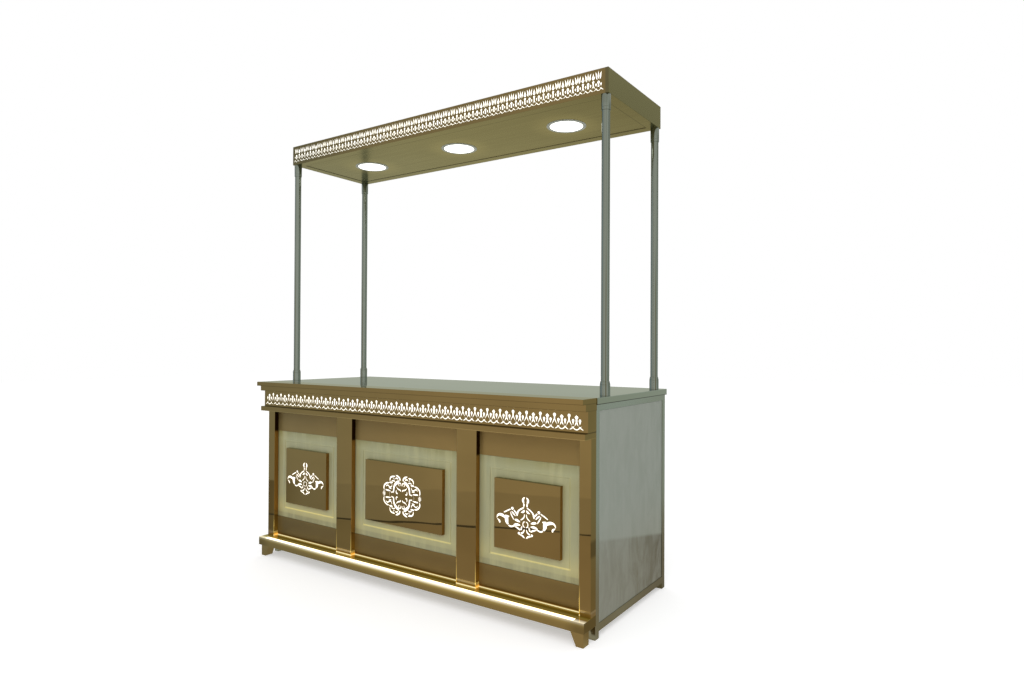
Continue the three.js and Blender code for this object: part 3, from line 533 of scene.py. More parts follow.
def worktop_steel():
    paint = Paint("worktop_steel")
    brushed = paint.noise(110, (0.03, 1, 1), detail=3)
    cloud = paint.noise(2.5, (1, 2, 1), detail=3)
    skirt = paint.below(paint.over("Z", worktop_top), -2.5, -1.5)
    # Painted shadow along the skirt's foot.
    skirt_foot_shadow = paint.below(paint.over("Z", worktop_foot), 2.6, 3.6)
    top = paint.blend(paint.ramp(cloud, 0.3, 0.7), colour(158, 167, 153), colour(169, 178, 165))
    side = paint.blend(skirt_foot_shadow, colour(149, 154, 135), colour(66, 66, 52))
    return paint.surface(
        base_color=paint.blend(skirt, top, side), metallic=1.0,
        roughness=paint.ramp(brushed, 0.2, 0.8, 0.02, 0.05), normal=paint.bump(cloud, 0.06, 0.0006),
    )


def grey_laminate():
    """Cloudy grey laminate, darker toward the rear. The foot of the right side panel carries a painted
    reflection of a dark floor.
    """
    paint = Paint("grey_laminate")
    height = paint.axis("Z")
    depth = paint.axis("Y")
    cloud = paint.noise(9, (1, 1.3, 0.6), detail=6, roughness=0.68, distortion=0.5)
    streak = paint.noise(14, (1, 3, 0.16), detail=4, roughness=0.55)
    upper = paint.scale(depth, [
        (-0.26, colour(140, 146, 134)), (0.0, colour(135, 140, 128)), (0.38, colour(128, 133, 120)),
    ])
    lower = paint.scale(depth, [
        (-0.26, colour(128, 130, 117)), (0.1, colour(102, 101, 84)), (0.38, colour(66, 60, 38)),
    ])
    # Painted reflection of a dark floor on the foot of the right side panel.
    reflection_slope, reflection_head = 0.18, 0.315
    right_panel = paint.ramp(paint.over("X", side_panel_inner), -1, 4)
    foot = paint.below(height + depth * reflection_slope, reflection_head - 9 * mm, reflection_head + 9 * mm) * right_panel
    tone = paint.blend(foot, upper, lower)
    pale = paint.blend(paint.ramp(cloud, 0.34, 0.68) * 0.4, tone, colour(150, 154, 144))
    shaded = paint.blend(paint.ramp(streak, 0.35, 0.75) * 0.08, pale, colour(162, 165, 155))
    return paint.surface(
        base_color=shaded, roughness=0.24, coat_weight=0.25, coat_roughness=0.08, specular_ior_level=0.35,
        normal=paint.bump(streak, 0.05, 0.0005),
    )


def cream_panel(side):
    """A cream panel with painted light from its foot: its streaks run upwards, it is painted brighter low
    down with painted shade at its foot and top, and its grooves carry painted highlights, as emission,
    strongest on the lower groove.
    """
    paint = Paint(f"cream_panel_{side}")
    low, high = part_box(f"raised_box_{side}")
    groove = (high.x - low.x) / 2 + groove_offset
    aside = paint.axis("X") - middle_of(f"cream_panel_{side}").x
    from_foot = paint.over("Z", box_foot - groove_offset)
    from_head = paint.over("Z", box_head + groove_offset)
    streak = paint.noise(26, (1, 1, 0.14), detail=5, roughness=0.6, distortion=0.3)
    cloud = paint.noise(4, (1, 1, 0.6), detail=2)
    # Painted light by height: brighter low down, with painted shade at the foot and near the top.
    tone = paint.scale(paint.over("Z", panel_foot), [
        (-0.5, colour(145, 140, 101)), (21.5, colour(148, 143, 104)), (27.5, colour(176, 168, 118)),
        (53.5, colour(188, 180, 126)), (123.5, colour(170, 166, 125)), (223.5, colour(161, 159, 122)),
        (363.5, colour(160, 157, 114)), (408.5, colour(164, 162, 120)), (446.5, colour(143, 138, 86)),
    ])
    cool = paint.blend(paint.ramp(cloud, 0.35, 0.65) * 0.5, tone, colour(156, 158, 126))
    shaded = paint.blend(paint.ramp(streak, 0.42, 0.7) * 0.42, cool, colour(186, 180, 134))
    within_sides = paint.below(paint.size_of(aside), groove, groove + 2 * mm)
    within_height = paint.ramp(from_foot, -3.5, -1.5) * paint.below(from_head, 0, 2)
    # Painted highlights along the grooves, as emission.
    lower_groove_highlight = paint.band(from_foot, -2.9, 3.1, 1.2) * within_sides
    upper_groove_highlight = paint.band(from_head, -1.5, 4.5, 1) * within_sides
    right_groove_highlight = paint.band(aside, groove - 6 * mm, groove + 1 * mm, 1 * mm) * within_height
    left_groove_highlight = paint.band(aside, -groove - 1 * mm, 6 * mm - groove, 1 * mm) * within_height
    painted_highlight = paint.blend(lower_groove_highlight, black, colour(132, 120, 62))
    groove_highlights = paint.blend(right_groove_highlight * 0.5 + left_groove_highlight * 0.3, painted_highlight, colour(84, 76, 40))
    glow = paint.blend(upper_groove_highlight * 0.5, groove_highlights, colour(84, 82, 62))
    return paint.surface(
        base_color=shaded, roughness=0.22, coat_weight=0.2, coat_roughness=0.06, specular_ior_level=0.3,
        emission_color=glow, emission_strength=1.0, normal=paint.bump(streak, 0.05, 0.0005),
    )


def pale_board():
    paint = Paint("pale_board")
    grain = paint.noise(40, (0.2, 1, 1), detail=5, roughness=0.65)
    shaded = paint.blend(paint.ramp(grain, 0.3, 0.7), colour(176, 171, 155), colour(194, 189, 173))
    return paint.surface(base_color=shaded, roughness=0.6, normal=paint.bump(grain, 0.15, 0.0006))


def aluminium():
    paint = Paint("aluminium")
    brushed = paint.noise(200, (0.02, 1, 1), detail=2)
    shaded = paint.blend(paint.ramp(brushed, 0.2, 0.8), colour(160, 162, 161), colour(178, 180, 179))
    return paint.surface(
        base_color=shaded, metallic=1.0, roughness=paint.ramp(brushed, 0.2, 0.8, 0.3, 0.42),
        normal=paint.bump(brushed, 0.1, 0.0002),
    )


def plastic(name, dark, light):
    paint = Paint(name)
    cloud = paint.noise(30, detail=3)
    fine = paint.noise(900, detail=2)
    shaded = paint.blend(paint.ramp(cloud, 0.3, 0.7), dark, light)
    return paint.surface(base_color=shaded, roughness=0.42, normal=paint.bump(fine, 0.08, 0.0002))


def lit_opal(name, low, high, strength):
    """Opal sheet with its light on, a little uneven."""
    paint = Paint(name)
    cloud = paint.noise(9, detail=1)
    shaded = paint.blend(paint.ramp(cloud, 0.3, 0.7), low, high)
    return paint.surface(
        base_color=shaded, roughness=0.5, emission_color=shaded, emission_strength=strength,
    )


def lit_strip():
    """The plinth's light strip: white along its middle and yellow along its edges."""
    paint = Paint("lit_strip")
    dots = paint.noise(30, (1, 0.1, 0.1), detail=2)
    across = paint.scale(paint.over("Y", strip_middle), [
        (-11, colour(255, 240, 190)), (-6.5, colour(255, 248, 218)), (0, colour(255, 254, 244)),
        (6.5, colour(255, 244, 204)), (11, colour(255, 226, 150)),
    ])
    shaded = paint.blend(paint.ramp(dots, 0.4, 0.8) * 0.3, across, colour(255, 240, 190))
    return paint.surface(base_color=shaded, roughness=0.5, emission_color=shaded, emission_strength=2.0)


finishes = {
    "frame_steel": brushed_steel("frame_steel", frame_shade),
    "worktop_steel": worktop_steel(),
    "gilt_sheet": gilt_sheet(),
    "gilt_fascia": gilt_fascia(),
    "gilt_rail": gilt_rail(),
    "gilt_pilaster": gilt_pilaster(),
    "gilt_box": gilt_box(),
    "gilt_plinth": gilt_plinth(),
    "gilt_satin": gilt_satin(),
    "grey_laminate": grey_laminate(),
    "pale_board": pale_board(),
    "aluminium": aluminium(),
    "white_plastic": plastic("white_plastic", colour(205, 208, 204), colour(218, 221, 217)),
    "trim_ring": plastic("trim_ring", colour(170, 174, 163), colour(182, 186, 176)),
    "black_plastic": plastic("black_plastic", colour(24, 24, 24), colour(34, 34, 34)),
    "opal": lit_opal("lit_opal", colour(255, 252, 238), colour(255, 254, 246), 0.9),
    "strip": lit_strip(),
    "lens": lit_opal("lit_lens", colour(252, 252, 244), colour(255, 255, 250), 2.5),
}
for side in ("left", "centre", "right"):
    finishes[f"cream_panel_{side}"] = cream_panel(side)
# The angle of each post's painted dark line.
dark_sides = {"front_left": -1.35, "front_right": -0.95, "rear_left": -1.35, "rear_right": -0.85}
for corner, dark_side in dark_sides.items():
    shade_of_post = post_shade(middle_of(f"post_{corner}"), dark_side)
    finishes[f"post_{corner}"] = brushed_steel(f"post_steel_{corner}", shade_of_post)


# Shaping

sheet = 1.5 * mm
overrun = 5 * mm
fold_angle = math.radians(30)
flat_angle = math.radians(1)
smooth_angle = math.radians(35)


def object_of(name, shape):
    """A shape as an object of the scene."""
    mesh = bpy.data.meshes.new(name)
    shape.to_mesh(mesh)
    shape.free()
    made = bpy.data.objects.new(name, mesh)
    collection.objects.link(made)
    return made


def finished(name, shape, finish, node, body="counter"):
    """A finished shape as a piece of the counter, in place of a CAD node."""
    made = object_of(name, shape)
    made.data.materials.append(finishes[finish])
    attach(made, body)
    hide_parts(node)
    return made


def block(low, high):
    """A box between two corners."""
    shape = bmesh.new()
    bmesh.ops.create_cube(shape, size=1)
    size = [b - a for a, b in zip(low, high)]
    middle = [(a + b) / 2 for a, b in zip(low, high)]
    bmesh.ops.scale(shape, vec=size, verts=shape.verts)
    bmesh.ops.translate(shape, vec=middle, verts=shape.verts)
    return shape


def eased(shape, edge, steps=2):
    """A shape with its folds and cut edges rounded a little."""
    sharp = [e for e in shape.edges if e.is_manifold and e.calc_face_angle(0) > fold_angle]
    bmesh.ops.bevel(
        shape, geom=sharp, offset=edge, segments=steps, profile=0.5, affect="EDGES", material=-1,
        clamp_overlap=True,
    )
    return shape


def copy_of(node):
    """A CAD node's shape with its loose triangles joined into whole faces."""
    shape = bmesh.new()
    shape.from_mesh(nodes[node].data)
    bmesh.ops.remove_doubles(shape, verts=shape.verts, dist=weld)
    bmesh.ops.dissolve_limit(
        shape, angle_limit=flat_angle, verts=shape.verts, edges=shape.edges, use_dissolve_boundaries=False,
    )
    return shape


# Ornament cutters

cutter_reach = 4
stroke_weld = 0.001


def square_profile():
    """The outline that every stroke carries along."""
    line = bpy.data.curves.new("square_profile", "CURVE")
    line.dimensions = "2D"
    corners = line.splines.new("POLY")
    corners.points.add(3)
    for point, (across, up) in zip(corners.points, ((-1, -1), (1, -1), (1, 1), (-1, 1))):
        point.co = (across, up, 0, 1)
    corners.use_cyclic_u = True
    made = bpy.data.objects.new("square_profile", line)
    collection.objects.link(made)
    return made


cutter_profile = square_profile()


def cutter(strokes, middle, face):
    """Closed prisms along strokes of (across, up, half width) points in millimetres, set upright on a face.

    A prism reaches cutter_reach half widths before and behind the face.
    """
    line = bpy.data.curves.new("cutter", "CURVE")
    line.dimensions = "2D"
    line.bevel_mode = "OBJECT"
    line.bevel_object = cutter_profile
    line.use_fill_caps = True
    line.resolution_u = 3
    for stroke in strokes:
        spline = line.splines.new("BEZIER")
        spline.radius_interpolation = "CARDINAL"
        spline.bezier_points.add(len(stroke) - 1)
        for point, (across, up, half) in zip(spline.bezier_points, stroke):
            point.co = (across, up, 0)
            point.radius = half
            point.handle_left_type = "AUTO"
            point.handle_right_type = "AUTO"
    flat = bpy.data.objects.new("cutter", line)
    collection.objects.link(flat)
    shape = evaluated(flat)
    bpy.data.objects.remove(flat)
    upright = Matrix.Rotation(math.radians(90), 3, "X")
    bmesh.ops.remove_doubles(shape, verts=shape.verts, dist=stroke_weld)
    bmesh.ops.scale(shape, vec=(mm, mm, cutter_reach * mm), verts=shape.verts)
    bmesh.ops.rotate(shape, cent=(0, 0, 0), matrix=upright, verts=shape.verts)
    bmesh.ops.translate(shape, vec=(middle[0], face, middle[1]), verts=shape.verts)
    bmesh.ops.recalc_face_normals(shape, faces=shape.faces)
    return object_of("cutter", shape)


def evaluated(source):
    """The shape of an object with its modifiers and bevels worked out."""
    whole = source.evaluated_get(bpy.context.evaluated_depsgraph_get())
    shape = bmesh.new()
    shape.from_mesh(whole.to_mesh())
    whole.to_mesh_clear()
    return shape


def cut_with(shape, cutters):
    """A shape with each cutter taken out of it in turn."""
    blank = object_of("blank", shape)
    for tool in cutters:
        cut = blank.modifiers.new("cut", "BOOLEAN")
        cut.operation = "DIFFERENCE"
        cut.solver = "MANIFOLD"
        cut.object = tool
    bpy.context.view_layer.update()
    result = evaluated(blank)
    for spent in (blank, *cutters):
        bpy.data.objects.remove(spent)
    return result


def mirrored(stroke):
    """A stroke on the other side of the middle line."""
    return [(-across, up, half) for across, up, half in stroke]


def flipped(stroke):
    """A stroke on the other side of the level line."""
    return [(across, -up, half) for across, up, half in stroke]


def along(strokes, places):
    """The same strokes at several places along a border."""
    return [[(across + at, up, half) for across, up, half in stroke] for at in places for stroke in strokes]


# Ornament: strokes of (across, up, half width) in millimetres, drawn after the photograph

frieze_border = {
    "period": 62.64,
    "end_margin": 43.7,
    "foot_margin": 11.2,
    "shift": -4.5,
    "under": [
        [(0, 54, 0.5), (0, 50.5, 3.6), (0, 45.5, 7.9), (0, 41.5, 5), (0, 39, 3.9), (0, 32, 4.1),
         (0, 24, 3.2)],
    ],
    "under_pairs": [
        [(1, 26, 2.4), (4.2, 20, 2.4), (7.5, 14, 0.9)],
        [(14.3, 40, 0.5), (14.3, 35.5, 5.3), (14.3, 26, 3), (14.3, 17, 0.5)],
        [(9.5, 12.3, 0.8), (14.6, 8.5, 1.9), (22, 3.4, 2), (29.2, 0, 0.9)],
    ],
    "smile": [
        (-21, 12.3, 0.8), (-14.6, 8.5, 1.9), (-7.5, 2.6, 2), (0, 0.3, 2), (7.5, 2.6, 2),
        (14.6, 8.5, 1.9), (21, 12.3, 0.8),
    ],
    "between": [
        [(0, 58, 0.8), (0, 56, 4.6), (0, 51, 6.7), (0, 46.5, 4.8), (0, 43, 3.2), (0, 37, 2.9), (0, 32, 2.4)],
    ],
    "between_pairs": [
        [(0.8, 35, 2.2), (5.6, 25, 2), (11.3, 15.5, 0.9)],
    ],
}

fascia_border = {
    "period": 45.6,
    "end_margin": 36,
    "foot_margin": 15.4,
    "shift": -7,
    "under": [
        [(0, 39.3, 0.4), (0, 36.5, 3), (0, 33, 5.7), (0, 28, 3.7), (0, 23.6, 2.8), (0, 18, 3.6),
         (0, 14, 4.4)],
        [(0, 45, 0.8), (0, 55, 3.2), (0, 64, 2.6), (0, 76.5, 0.4)],
    ],
    "under_pairs": [
        [(10.8, 30, 0.4), (10.8, 25.5, 3.6), (10.8, 16, 0.4)],
        [(5.4, 43, 0.7), (8.2, 49, 2.6), (8.6, 57, 3.2), (10.4, 66, 2.3), (13.3, 74, 0.5)],
        [(6.5, 10.5, 0.6), (10.3, 7.5, 1.4), (16, 3, 1.5), (22, 0.3, 0.8)],
    ],
    "smile": [
        (-14.5, 10.5, 0.6), (-10.3, 7.5, 1.4), (-5, 1.9, 1.5), (0, 0.2, 1.5), (5, 1.9, 1.5),
        (10.3, 7.5, 1.4), (14.5, 10.5, 0.6),
    ],
    "between": [
        [(0, 72, 0.4), (0, 60, 3.2), (0, 49.5, 6.6), (0, 44, 1.2)],
        [(0, 41.6, 0.8), (0, 38, 4.9), (0, 32.5, 3.6), (0, 29.6, 2.8), (0, 22, 2.6), (0, 17.5, 2.2)],
    ],
    "between_pairs": [
        [(0.6, 20, 1.8), (3.4, 15, 1.7), (5.7, 11, 0.8)],
    ],
}

crest_half = [
    [(3, 81, 0.9), (7.6, 77, 3.4), (11.8, 69, 5), (9.6, 61, 4.2), (7.2, 57, 3.2)],
    [(7.2, 55.5, 3.4), (7.4, 49, 3.6), (7.6, 43.5, 3)],
    [(6.4, 40.8, 2), (14, 36.6, 2.9), (25.5, 30, 3), (34, 22.6, 3.2), (38.8, 12.5, 4.6),
     (39.6, 3.2, 2.6)],
    [(4, 31.5, 1.2), (8, 25.5, 4.4), (14, 21.6, 3.4), (21.4, 19.6, 0.9)],
    [(4.6, 14.5, 2), (5.6, 5, 2.4), (12, -3.4, 2.6), (22.5, -10.8, 2)],
    [(2.6, -14.4, 1.8), (8.8, -17.2, 2.2), (11.8, -25.6, 2.2), (8.8, -34, 2.2), (2.6, -36.8, 1.8)],
    [(57, 27.5, 4.2), (62, 30, 6), (67, 27.5, 3.8)],
    [(44.5, 12, 2.6), (49.5, 19.5, 3), (55, 24.5, 2.6)],
    [(70.5, 25.8, 2.4), (88, 17, 2.6), (103, 9.2, 2.2)],
    [(46.5, 1.5, 1.6), (54, 8, 3), (62, 14.6, 3), (66.5, 18.4, 1.4)],
    [(71.5, 15.5, 1.6), (67.5, 5.5, 2.6), (60.5, -5.5, 2.6), (55, -14, 1.8)],
    [(97, -13, 3.4), (102.5, -7, 5.4), (112, -3.2, 6), (124, -2.6, 4.6), (133.6, -8, 3.4),
     (137.6, -18, 1.8)],
    [(136, -20.5, 1.4), (128.6, -24.6, 3.2), (123.6, -30.4, 4.2), (123.2, -36.2, 2.8)],
    [(77, -4.6, 2.4), (86, -4, 3.4), (97, -3.4, 3.4)],
    [(88, -6, 6.4), (89.6, -18, 8.6), (87.6, -28, 6.8), (82.4, -36.2, 3.6)],
    [(80.5, -38.6, 3), (71, -42.4, 3.2), (60, -40.4, 3), (49.5, -35.8, 2)],
    [(24.5, -19, 1.4), (34, -15.6, 4.4), (45, -13, 4.4), (52, -13, 1.4)],
    [(24, -31.4, 1.6), (34, -30.6, 4.2), (46, -31.4, 4.6), (56, -35.2, 2.2)],
    [(15.5, -33, 1.4), (18.6, -42, 3.2), (20.4, -49.5, 3)],
    [(24, -50.6, 2.6), (33, -45.6, 3.4), (43, -41.6, 3), (51, -40.4, 1.4)],
    [(4.6, -44.5, 1.8), (7.6, -53, 2.8), (14, -59.6, 3), (22, -62, 3)],
    [(26, -62.4, 3.6), (30.6, -63.6, 5.2), (35, -62.4, 3)],
    [(28, -68.4, 1.4), (18, -69.6, 3), (10, -73.8, 3.4), (3.2, -79.4, 1.2)],
]

medallion_quarter = [
    [(9.5, 66.9, 3.4), (10.5, 75.7, 3.8), (18.5, 83, 4), (28, 86.9, 3.4), (36.6, 89.6, 1)],
    [(40, 84.6, 1.4), (48, 82.1, 3.4), (58, 80.9, 3.4), (67, 76.2, 3.4), (71.6, 66.9, 2.8),
     (71.4, 59.6, 2)],
    [(14, 66, 2.6), (22, 60.7, 6.2), (33, 53, 6.8), (42, 44.2, 5.4), (47, 33, 4.6),
     (48.6, 19.4, 4), (49.4, 9.2, 2.6)],
    [(20, 71.2, 1.2), (26.5, 75.1, 3.2), (33.6, 76.2, 2.8), (38.6, 71.8, 1.4)],
    [(40, 58.2, 1.6), (46, 62.5, 2.6), (56, 61.7, 2.6), (62.6, 58.2, 1.2)],
    [(43.5, 67.4, 1), (46, 72.3, 2), (52, 74.2, 1)],
    [(4.2, 44.2, 2), (3.8, 51, 2.3), (8.4, 56.3, 2.4), (15.2, 54.7, 2.3), (17.4, 47.5, 2.2),
     (13.4, 42.1, 1.6)],
    [(4.2, 19.4, 2.6), (8.4, 25.2, 2.8), (18, 27.5, 2.8), (27, 32.6, 2.2), (32.6, 39.2, 1.2)],
    [(23.4, 9.3, 2.6), (30.2, 8.3, 2.8), (33.2, 14.9, 2.6), (31.4, 22.1, 1.8)],
    [(52.5, 10.1, 2.4), (58.6, 11.3, 2.6), (63, 7, 1.6)],
    [(54, 53.9, 1.6), (62, 52.8, 3.4), (70, 53.2, 3.6), (76, 52, 1.6)],
    [(77.5, 50.2, 2), (88, 49.1, 3.2), (99, 44, 3.4), (107.6, 34.9, 3.6), (110, 23.3, 3.2),
     (107, 15.1, 1.8)],
    [(60, 45.6, 1.4), (60.4, 37.8, 2.2), (66, 32.4, 2.2), (76, 33.6, 2.4), (84, 38.4, 2.6),
     (92, 37.4, 2.4), (97, 30.7, 1.4)],
    [(62, 24.8, 1.4), (70, 27, 3), (79, 27.7, 1.6)],
    [(66, 13, 1.2), (74, 15.3, 2.6), (86, 15.9, 3.4), (99, 17.1, 2.6)],
]
medallion_head = [
    [(-reach, level, 1.5), (0, level, 1.6), (reach, level, 1.5)]
    for reach, level in ((4.6, 9.4), (8.2, 4.7), (9.2, 0), (8.2, -4.7), (4.6, -9.4))
]
medallion_dots = [
    [(0, level - 1.2, 1.3), (0, level, 1.5), (0, level + 1.2, 1.3)] for level in (-6, 0, 6)
]
medallion_head_aside = 108.5
medallion_dots_aside = 74

crest = [*crest_half, *(mirrored(stroke) for stroke in crest_half)]
medallion = [
    *medallion_quarter,
    *(mirrored(stroke) for stroke in medallion_quarter),
    *(flipped(stroke) for stroke in medallion_quarter),
    *(mirrored(flipped(stroke)) for stroke in medallion_quarter),
    *along(medallion_head, (-medallion_head_aside, medallion_head_aside)),
    *along(medallion_dots, (-medallion_dots_aside, medallion_dots_aside)),
]


def border_cutters(node, border):
    """A border's cutters: what stands at each middle, what is paired about it, and what is between them."""
    low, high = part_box(node)
    reach = high.x / mm - border["end_margin"]
    count = round(2 * reach / border["period"]) + 1
    step = 2 * reach / (count - 1)
    stretch = step / border["period"]
    middles = [(index - (count - 1) / 2) * step for index in range(count)]
    halfways = [(index - (count - 2) / 2) * step for index in range(count - 1)]

    def widened(stroke):
        return [(across * stretch, up, half) for across, up, half in stroke]

    rows = [(widened(stroke), middles) for stroke in border["under"]]
    for stroke in border["under_pairs"]:
        rows += [(widened(stroke), middles), (mirrored(widened(stroke)), middles)]
    rows += [(widened(border["smile"]), middles[::2]), (widened(border["smile"]), middles[1::2])]
    rows += [(widened(stroke), halfways) for stroke in border["between"]]
    for stroke in border["between_pairs"]:
        rows += [(stroke, halfways), (mirrored(stroke), halfways)]
    origin = (border["shift"] * mm, low.z + border["foot_margin"] * mm)
    return [cutter(along([stroke], places), origin, low.y) for stroke, places in rows]


# Front: the pierced frieze, the fascia and the raised boxes

box_ornament_shift = (-3.5 * mm, -2.4 * mm)


def hollow(low, high, margin):
    """What is taken out of a block to leave a folded sheet that is open at the back."""
    corner = (low.x + sheet, low.y + sheet, low.z + margin)
    return object_of("hollow", block(corner, (high.x - sheet, high.y + overrun, high.z - margin)))


def pierced_frieze():
    """The frieze: a folded sheet, open at the back, that the border is cut out of."""
    low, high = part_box("frieze_panel")
    cutters = [hollow(low, high, -overrun), *border_cutters("frieze_panel", frieze_border)]
    shape = cut_with(block(low, high), cutters)
    finished("pierced_frieze", shape, "gilt_sheet", "frieze_panel")


def pierced_fascia():
    """The canopy's flat front sheet, that the border is cut out of."""
    shape = cut_with(block(*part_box("canopy_fascia")), border_cutters("canopy_fascia", fascia_border))
    finished("pierced_fascia", shape, "gilt_fascia", "canopy_fascia")


def pierced_box(side, strokes):
    """A raised box, open at the back, that its ornament is cut out of."""
    node = f"raised_box_{side}"
    low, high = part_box(node)
    aside, up = box_ornament_shift
    origin = ((low.x + high.x) / 2 + aside, (low.z + high.z) / 2 + up)
    outer = eased(block(low, high), 0.8 * mm, 3)
    cutters = [hollow(low, high, sheet), *(cutter([stroke], origin, low.y) for stroke in strokes)]
    shape = cut_with(outer, cutters)
    finished(f"pierced_box_{side}", shape, "gilt_box", node)


pierced_frieze()
pierced_fascia()
pierced_box("left", crest)
pierced_box("centre", medallion)
pierced_box("right", crest)
bpy.data.objects.remove(cutter_profile)


# Folded and sawn pieces with their edges eased

def eased_piece(node, name, finish, edge=0.6 * mm, body="counter"):
    """A CAD node's own shape with its edges eased, as a piece."""
    finished(name, eased(copy_of(node), edge), finish, node, body)


for side in ("left", "right"):
    eased_piece(f"side_frame_{side}", f"tube_frame_{side}", "frame_steel", 0.9 * mm)
    eased_piece(f"side_panel_{side}", f"faced_panel_{side}", "grey_laminate")
    eased_piece(f"plinth_foot_{side}", f"tapered_foot_{side}", "gilt_sheet", 1.2 * mm)
    eased_piece(
        f"sliding_door_{side}", f"door_leaf_{side}", "grey_laminate", body=f"{side}_door",
    )
for side in ("left", "centre", "right"):
    finish = f"cream_panel_{side}"
    eased_piece(f"cream_panel_{side}", f"routed_panel_{side}", finish, 0.5 * mm)
for level in ("lower", "upper"):
    eased_piece(f"front_rail_gilt_{level}", f"gilt_rail_{level}", "gilt_rail")
for number in (1, 2, 3, 4):
    eased_piece(f"pilaster_{number}", f"folded_pilaster_{number}", "gilt_pilaster")
eased_piece("worktop", "folded_worktop", "worktop_steel", 0.9 * mm)
for node, part, finish in (("cornice", "cornice", "sheet"), ("frieze_ledge", "ledge", "sheet"),
                           ("plinth", "plinth", "plinth")):
    eased_piece(node, f"folded_{part}", f"gilt_{finish}")
eased_piece("canopy_shell", "folded_canopy", "gilt_satin", 1.0 * mm)


# Turned pieces: posts, sockets and downlights, from (radius, height) points in millimetres

def turned(name, points, foot, finish, node, closed=True):
    """A profile turned about the upright line over a foot. An open profile starts and ends on that line."""
    shape = bmesh.new()
    corners = [shape.verts.new((radius * mm, 0, height * mm)) for radius, height in points]
    edges = [shape.edges.new(pair) for pair in zip(corners, corners[1:])]
    if closed:
        edges.append(shape.edges.new((corners[-1], corners[0])))
    bmesh.ops.spin(
        shape, geom=corners + edges, cent=(0, 0, 0), axis=(0, 0, 1), angle=math.tau, steps=64,
        use_merge=True,
    )
    bmesh.ops.remove_doubles(shape, verts=shape.verts, dist=weld)
    bmesh.ops.recalc_face_normals(shape, faces=shape.faces)
    bmesh.ops.translate(shape, vec=foot, verts=shape.verts)
    made = finished(name, shape, finish, node)
    made.data.shade_smooth()
    made.data.set_sharp_from_angle(angle=smooth_angle)


post_length = (canopy_foot - worktop_top) / mm
post_profile = [(15, 0), (16.5, 0), (16.5, post_length), (15, post_length)]
lower_socket_profile = [
    (16.7, 0), (20.1, 0), (20.5, 0.5), (20.5, 41.4), (20.1, 42.2), (20.1, 43.2), (20.5, 43.8), (20.3, 45),
    (19.4, 49.6), (18.2, 54.2), (17.6, 56.4), (17.1, 57), (16.7, 57),
]
upper_socket_profile = [
    (16.7, -62), (18.1, -62), (18.75, -61.2), (18.9, -50.8), (18.4, -50.1), (18.4, -49.1),
    (18.95, -48.4), (19.5, -0.6), (19.2, 0), (16.7, 0),
]
for corner in dark_sides:
    middle = middle_of(f"post_{corner}")
    foot = (middle.x, middle.y, worktop_top)
    head = (middle.x, middle.y, canopy_foot)
    for name, node, profile, place in (
        ("tube_post", "post", post_profile, foot),
        ("turned_foot", "lower_socket", lower_socket_profile, foot),
        ("turned_head", "upper_socket", upper_socket_profile, head),
    ):
        turned(f"{name}_{corner}", profile, place, f"post_{corner}", f"{node}_{corner}")

trim_profile = [
    (73.3, -0.1), (74.2, -1.1), (76, -1.5), (84.2, -1.5), (86.6, -1.1), (88, 0), (88.5, 1.5),
    (73.3, 1.5),
]
lens_profile = [(0, -0.5), (72.6, -0.5), (73.1, -0.1), (73.1, 1.4), (0, 1.4)]
can_profile = [(0, 46.5), (72.6, 46.5), (74, 45.1), (74, 1.6), (72.5, 1.6), (72.5, 43.8), (0, 43.8)]
for lamp in lamps:
    node = f"downlight_{lamp}"
    middle = middle_of(node)
    place = (middle.x, middle.y, canopy_foot)
    turned(f"trim_ring_{lamp}", trim_profile, place, "trim_ring", node)
    turned(f"lamp_lens_{lamp}", lens_profile, place, "lens", node, closed=False)
    turned(f"lamp_can_{lamp}", can_profile, place, "white_plastic", node, closed=False)


# CAD nodes that keep their own shape

kept = {
    "frame_steel": ["front_rail_lower", "front_rail_upper", "rear_rail_lower", "rear_rail_upper"],
    "pale_board": ["cabinet_floor", "worktop_board", "front_board"],
    "aluminium": ["door_track_lower", "door_track_upper"],
    "opal": [
        "frieze_opal_sheet", "fascia_opal_sheet", "box_opal_sheet_left", "box_opal_sheet_centre",
        "box_opal_sheet_right",
    ],
    "strip": ["plinth_light_strip"],
    "gilt_satin": ["soffit_panel"],
    "white_plastic": ["power_box"],
    "black_plastic": ["light_switch_rocker"],
}
for finish, names in kept.items():
    for name in names:
        mesh = nodes[name].data
        mesh.materials.clear()
        mesh.materials.append(finishes[finish])


# Studio: the camera sees a plain pale floor and white, and mirrors see the tones of the photograph's room

left_tone = (0.68, 0.79, 0.92, 1)
right_tone = (0.57, 0.63, 0.59, 1)
ceiling_tone = (0.86, 0.87, 0.85, 1)
front_plane = -0.325
camera_image = 2 * front_plane - camera_place.y


def looks(paint, output):
    """1 for one kind of look at the studio, such as a mirror's, and 0 for the others."""
    return Value(paint, paint.node("ShaderNodeLightPath").outputs[output])


